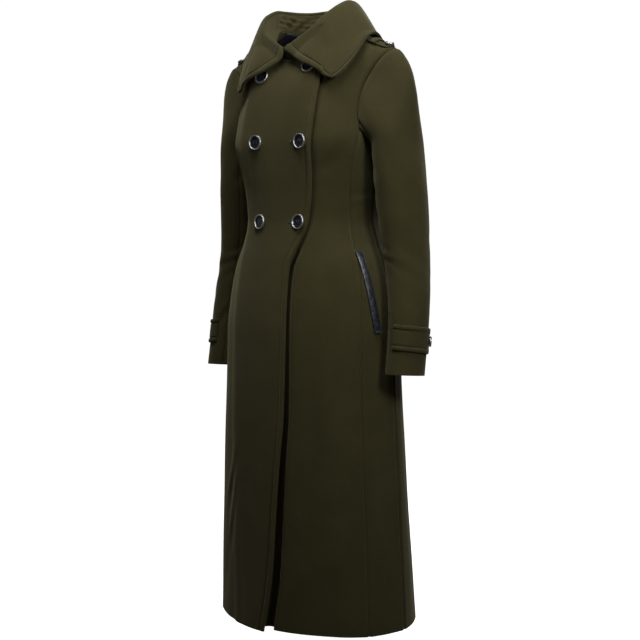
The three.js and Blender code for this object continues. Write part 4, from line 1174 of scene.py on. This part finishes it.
def grain_group():
    """Even noise on the object."""
    group, given, out = new_group("grain", GRAIN_SOCKETS, ["Value"])
    place, lie, noise = (node_of(group, kind) for kind in ("ShaderNodeTexCoord", "ShaderNodeMapping", NOISE))
    wire(
        group, (place, "Object", lie, "Vector"), (given, "Stretch", lie, "Scale"),
        (lie, "Vector", noise, "Vector"), (noise, "Fac", out, "Value"),
        *((given, name, noise, name) for name in ("Scale", "Detail", "Distortion")),
    )
    return group


def nap_group():
    """Felted nap: slow shade, fine fleck and the height of the fibres."""
    inputs = [("Cloud", "Float", 16), ("Fibre", "Float", 620)]
    group, given, out = new_group("felted_nap", inputs, ["Shade", "Fleck", "Height"])
    place = node_of(group, "ShaderNodeTexCoord")
    lie = node_of(group, "ShaderNodeMapping", {"Scale": (1, 1, 0.45)})
    cloud = node_of(group, NOISE, {"Detail": 5})
    fibre = node_of(group, NOISE, {"Detail": 6, "Roughness": 0.7, "Distortion": 1.2})
    fleck = node_of(group, NOISE, {"Scale": 240, "Detail": 3})
    height = node_of(group, "ShaderNodeMath", {1: 0.55}, operation="MULTIPLY_ADD")
    wire(
        group, *((place, "Object", node, "Vector") for node in (cloud, lie, fleck)),
        (lie, "Vector", fibre, "Vector"),
        (given, "Cloud", cloud, "Scale"), (given, "Fibre", fibre, "Scale"),
        (fleck, "Fac", height, 0), (fibre, "Fac", height, 2), (height, 0, out, "Height"),
        (cloud, "Fac", out, "Shade"), (fibre, "Fac", out, "Fleck"),
    )
    return group


def new_material(name, **values):
    """A material with a Principled shader, and its tree and shader."""
    material = bpy.data.materials.new(name)
    material.use_nodes = True
    shader = material.node_tree.nodes["Principled BSDF"]
    for socket, value in values.items():
        shader.inputs[socket.replace("_", " ")].default_value = value
    return material, material.node_tree, shader


def ramp(tree, source, stops):
    node = node_of(tree, "ShaderNodeValToRGB")
    for place, colour in zip(node.color_ramp.elements, stops):
        place.position, place.color = colour[0], (*colour[1], 1)
    for position, colour in stops[2:]:
        node.color_ramp.elements.new(position).color = (*colour, 1)
    tree.links.new(source, node.inputs["Fac"])
    return node.outputs["Color"]


def bump(tree, source, shader, strength, distance):
    node = node_of(tree, "ShaderNodeBump", {"Strength": strength, "Distance": distance})
    tree.links.new(source, node.inputs["Height"])
    wire(tree, (node, "Normal", shader, "Normal"))


def wool_material(name, dark, light):
    material, tree, shader = new_material(
        name, Roughness=0.92, Sheen_Weight=0.3, Sheen_Roughness=0.45, Sheen_Tint=(0.6, 0.55, 0.34, 1),
        Specular_IOR_Level=0.2, Specular_Tint=(1, 0.9, 0.6, 1),
    )
    felt = node_of(tree, "ShaderNodeGroup", node_tree=nap_group())
    base = ramp(tree, felt.outputs["Shade"], [(0.36, dark), (0.64, light)])
    fleck = ramp(tree, felt.outputs["Fleck"], [(0.3, (0.72, 0.72, 0.72)), (0.7, (1.2, 1.18, 1.12))])
    blend = node_of(tree, "ShaderNodeMix", {"Factor": 0.8}, data_type="RGBA", blend_type="MULTIPLY")
    tree.links.new(base, blend.inputs["A"])
    tree.links.new(fleck, blend.inputs["B"])
    wire(tree, (blend, "Result", shader, "Base Color"))
    bump(tree, felt.outputs["Height"], shader, 0.5, 0.0007)
    return material


def grained_material(name, grain, stops, relief, rough=None, **values):
    """A material coloured, raised and roughened by one grain of (scale, stretch, detail, distortion)."""
    material, tree, shader = new_material(name, **values)
    noise = node_of(tree, "ShaderNodeGroup", node_tree=GRAIN)
    for socket, value in zip(noise.inputs, grain):
        socket.default_value = value
    tree.links.new(ramp(tree, noise.outputs["Value"], stops), shader.inputs["Base Color"])
    if rough:
        spread = node_of(tree, "ShaderNodeMapRange", {"To Min": rough[0], "To Max": rough[1]})
        wire(tree, (noise, "Value", spread, "Value"), (spread, "Result", shader, "Roughness"))
    if relief:
        bump(tree, noise.outputs["Value"], shader, *relief)
    return material


# Making the coat

GRAIN = grain_group()
wool = wool_material("olive_melton", (0.034, 0.0302, 0.0122), (0.039, 0.0348, 0.0142))
lining = grained_material(
    "navy_satin", (1400, (1, 1, 0.08), 2, 0), [(0.3, (0.016, 0.014, 0.021)), (0.7, (0.031, 0.027, 0.036))],
    (0.2, 0.0003), Roughness=0.42, Sheen_Weight=0.25, Sheen_Tint=(0.35, 0.4, 0.7, 1), Specular_IOR_Level=0.4,
)
leather = grained_material(
    "black_leather", (130, EVEN, 4, 0), [(0.35, (0.006, 0.007, 0.012)), (0.7, (0.022, 0.025, 0.036))],
    (0.6, 0.003), (0.26, 0.5), Coat_Weight=0.25, Coat_Roughness=0.3,
)
metal = grained_material(
    "button_rim_metal", (420, EVEN, 5, 0), [(0.35, (0.34, 0.34, 0.35)), (0.62, (0.72, 0.72, 0.72))],
    (0.06, 0.0003), (0.3, 0.52), Metallic=1.0,
)
button_face = grained_material(
    "button_face_navy", (210, EVEN, 6, 1.5), [(0.42, (0.002, 0.0026, 0.005)), (0.7, (0.016, 0.018, 0.026))],
    (0.08, 0.0003), Roughness=0.42, Specular_IOR_Level=0.28,
)
# Black thread for the welt tacks and the buttons' sewing; on the buttonhole slits it is painted shade of
# their openings.
thread, black_thread_and_slit_shade = (
    grained_material(
        name, (1500, EVEN, 2, 0), [(0.3, dark), (0.7, light)], (0.3, 0.0003),
        Roughness=0.75, Sheen_Weight=0.2,
    )
    for name, dark, light in (
        ("olive_thread", (0.03, 0.028, 0.016), (0.07, 0.064, 0.04)),
        ("black_thread_and_slit_shade", (0.006, 0.006, 0.008), (0.02, 0.02, 0.024)),
    )
)
backdrop = grained_material(
    "pale_backdrop", (0.8, EVEN, 2, 0), [(0.3, (0.93, 0.93, 0.93)), (0.7, (0.95, 0.95, 0.95))], None,
    Roughness=0.9, Specular_IOR_Level=0.1, Emission_Color=(1, 1, 1, 1), Emission_Strength=0.97,
)

SIDES = ((-1, "right"), (1, "left"))
front_cloth(-1, wool)
front_cloth(1, wool)
for side, name in SIDES:
    side_cloth(side, SIDE_FRONT_SEAM, SIDE_SEAM, f"side_front_{name}", wool)
    side_cloth(side, SIDE_SEAM, SIDE_BACK_SEAM, f"side_back_{name}", wool)
    back_cloth(side, wool)
    sleeve_cloth(side, SLEEVE_BACK_SEAM - 360, SLEEVE_FRONT_SEAM, f"sleeve_upper_{name}", wool)
    sleeve_cloth(side, SLEEVE_FRONT_SEAM, SLEEVE_BACK_SEAM, f"sleeve_under_{name}", wool)
    armhole_seam(side, name, wool)
    epaulette_cloth(side, f"epaulette_{name}", wool)
    keeper_cloth(side, f"epaulette_keeper_{name}", wool)
    strap_cloth(side, f"cuff_strap_{name}", wool)
    welt_leather(side, f"pocket_welt_{name}", leather)
    lining_cloth(side, f"neck_lining_{name}", lining)
collar_cloth(wool)

button_materials = [metal, button_face, black_thread_and_slit_shade]
for name, x, z, stand, tilt in FRONT_BUTTONS:
    at = np.array([float(z)])
    angle = angle_at_x(x, at)
    normal = body_normal(angle, at)
    place = raised(body_point(angle, at), normal, over_lift(angle, at) + stand)
    c, d = math.cos(math.radians(tilt)), math.sin(math.radians(tilt))
    facing = normal[0] @ np.array([[c, d, 0], [-d, c, 0], [0, 0, 1]])
    button_piece(f"button_{name}", BUTTON_RADIUS, BUTTON_HEIGHT, place[0], facing, button_materials)
for side, name in SIDES:
    small = (SMALL_BUTTON_RADIUS, SMALL_BUTTON_HEIGHT)
    spot = np.array([side * EPAULETTE_BUTTON_X]), np.array([EPAULETTE_BUTTON_ACROSS])
    place = shoulder_skin(*spot, EPAULETTE_GAP + TRIM_WALL)
    normal = unit(shoulder_skin(*spot, EPAULETTE_GAP + TRIM_WALL + 1) - place)
    place = place + normal * SMALL_BUTTON_STAND
    button_piece(f"epaulette_button_{name}", *small, place[0], normal[0], button_materials)
    turn, row = np.array([CUFF_BUTTON_TURN]), np.array([sleeve_row(CUFF_BUTTON_Z)])
    normal = sleeve_normal(turn, row)
    place = sleeve_point(turn, row) + normal * (LAY_GAP + TRIM_WALL + SMALL_BUTTON_STAND)
    place, normal = flipped(side, place, normal)
    button_piece(f"cuff_button_{name}", *small, place[0], normal[0], button_materials)

sewn_piece("front_edge_stitching", front_edge_stitches(), thread)
sewn_piece("collar_stitching", collar_stitches(), thread)
for side, name in SIDES:
    sewn_piece(f"cuff_strap_stitching_{name}", strap_stitches(side), thread)
    sewn_piece(f"epaulette_stitching_{name}", epaulette_stitches(side), thread)
    sewn_piece(f"pocket_tacks_{name}", welt_tacks(side), black_thread_and_slit_shade)
# Each slit is a black tube: painted shade where the buttonhole opens.
rings, painted_slit_shades = zip(*[buttonhole(x, z) for x, z in BUTTONHOLES])
sewn_piece("buttonhole_stitching", rings, thread)
sewn_piece("buttonhole_slit_painted_shade", painted_slit_shades, black_thread_and_slit_shade)
# A black tube on the right leaf: painted shade of a buttonhole's slit.
slit_rows = np.linspace(LEAF_SLIT_FROM, LEAF_SLIT_TO, 16)
leaf_slit = fall_skin(np.full(16, LEAF_SLIT_AT), slit_rows, 0.3)[0]
sewn_piece("collar_buttonhole_slit_painted_shade", [tube(leaf_slit, 0.8)], black_thread_and_slit_shade)


# Floor, light and camera

FLOOR_Z, FLOOR_FLAT, FLOOR_CURVE, WALL_HEIGHT = -1.30, 5.0, 3.0, 12.0
CAMERA_PLACE, CAMERA_AIM, CAMERA_LENS = (1.570, -2.123, -0.484), (0.0086, 0.0063, -0.602), 71.39
AIR_GLOW = 0.04

# Lights: name, place, aim, width and height, power
LIGHTS = [
    ("over_head", (0.1, -0.6, 1.3), (0, -0.05, -0.3), (0.4, 0.4), 14),
    ("over_collar", (0.42, -0.5, 0.55), (0.08, -0.05, -0.05), (0.3, 0.3), 2.6),
    ("high_front", (0.45, -0.85, 1.15), (0, -0.05, -0.3), (0.4, 0.4), 3.5),
    ("side_key", (1.5, -0.6, 0.3), (0, 0, -0.4), (0.4, 0.4), 14),
    ("front_fill", (0.3, -1.8, 0.2), (0, -0.1, -0.4), (0.5, 0.5), 2.6),
    ("left_rim", (-2.0, -0.9, 0.1), (0, 0, -0.5), (0.5, 1.8), 3.5),
    ("back_fill", (-0.2, 2.4, 0.5), (0, 0, -0.5), (1.2, 1.6), 22),
]


def studio_floor():
    """Pale floor that curves up all round, plain from every side."""
    bend = np.linspace(0, 90, 12)
    curved = FLOOR_FLAT + FLOOR_CURVE * sin_of(bend)
    radius = np.concatenate([[0.0001, 2, 4], curved, [curved[-1] + 0.05]])
    height = np.concatenate([[0, 0, 0], FLOOR_CURVE - FLOOR_CURVE * cos_of(bend), [WALL_HEIGHT]])
    rings = lathe_points(np.stack([radius, height + FLOOR_Z], 1), 64)
    faces = ring_faces(len(radius), 64)
    floor = put("studio_floor", smooth_mesh("studio_floor", rings.reshape(-1, 3), faces, [backdrop]))
    floor.visible_diffuse = floor.visible_glossy = False


def soft_light(name, place, aim, size, power):
    data = bpy.data.lights.new(name, "AREA")
    data.shape, data.size, data.size_y = "RECTANGLE", *size
    data.energy = power
    put(name, data, place, aim)



studio_floor()
for light in LIGHTS:
    soft_light(*light)
world = bpy.data.worlds.new("studio_air")
bpy.context.scene.world = world
world.use_nodes = True
world.node_tree.nodes["Background"].inputs["Color"].default_value = (1, 1, 1, 1)
world.node_tree.nodes["Background"].inputs["Strength"].default_value = AIR_GLOW
camera = bpy.data.cameras.new("camera")
camera.sensor_width, camera.lens = 36, CAMERA_LENS
bpy.context.scene.camera = put("camera", camera, CAMERA_PLACE, CAMERA_AIM)
bpy.context.scene.view_settings.view_transform = "Standard"
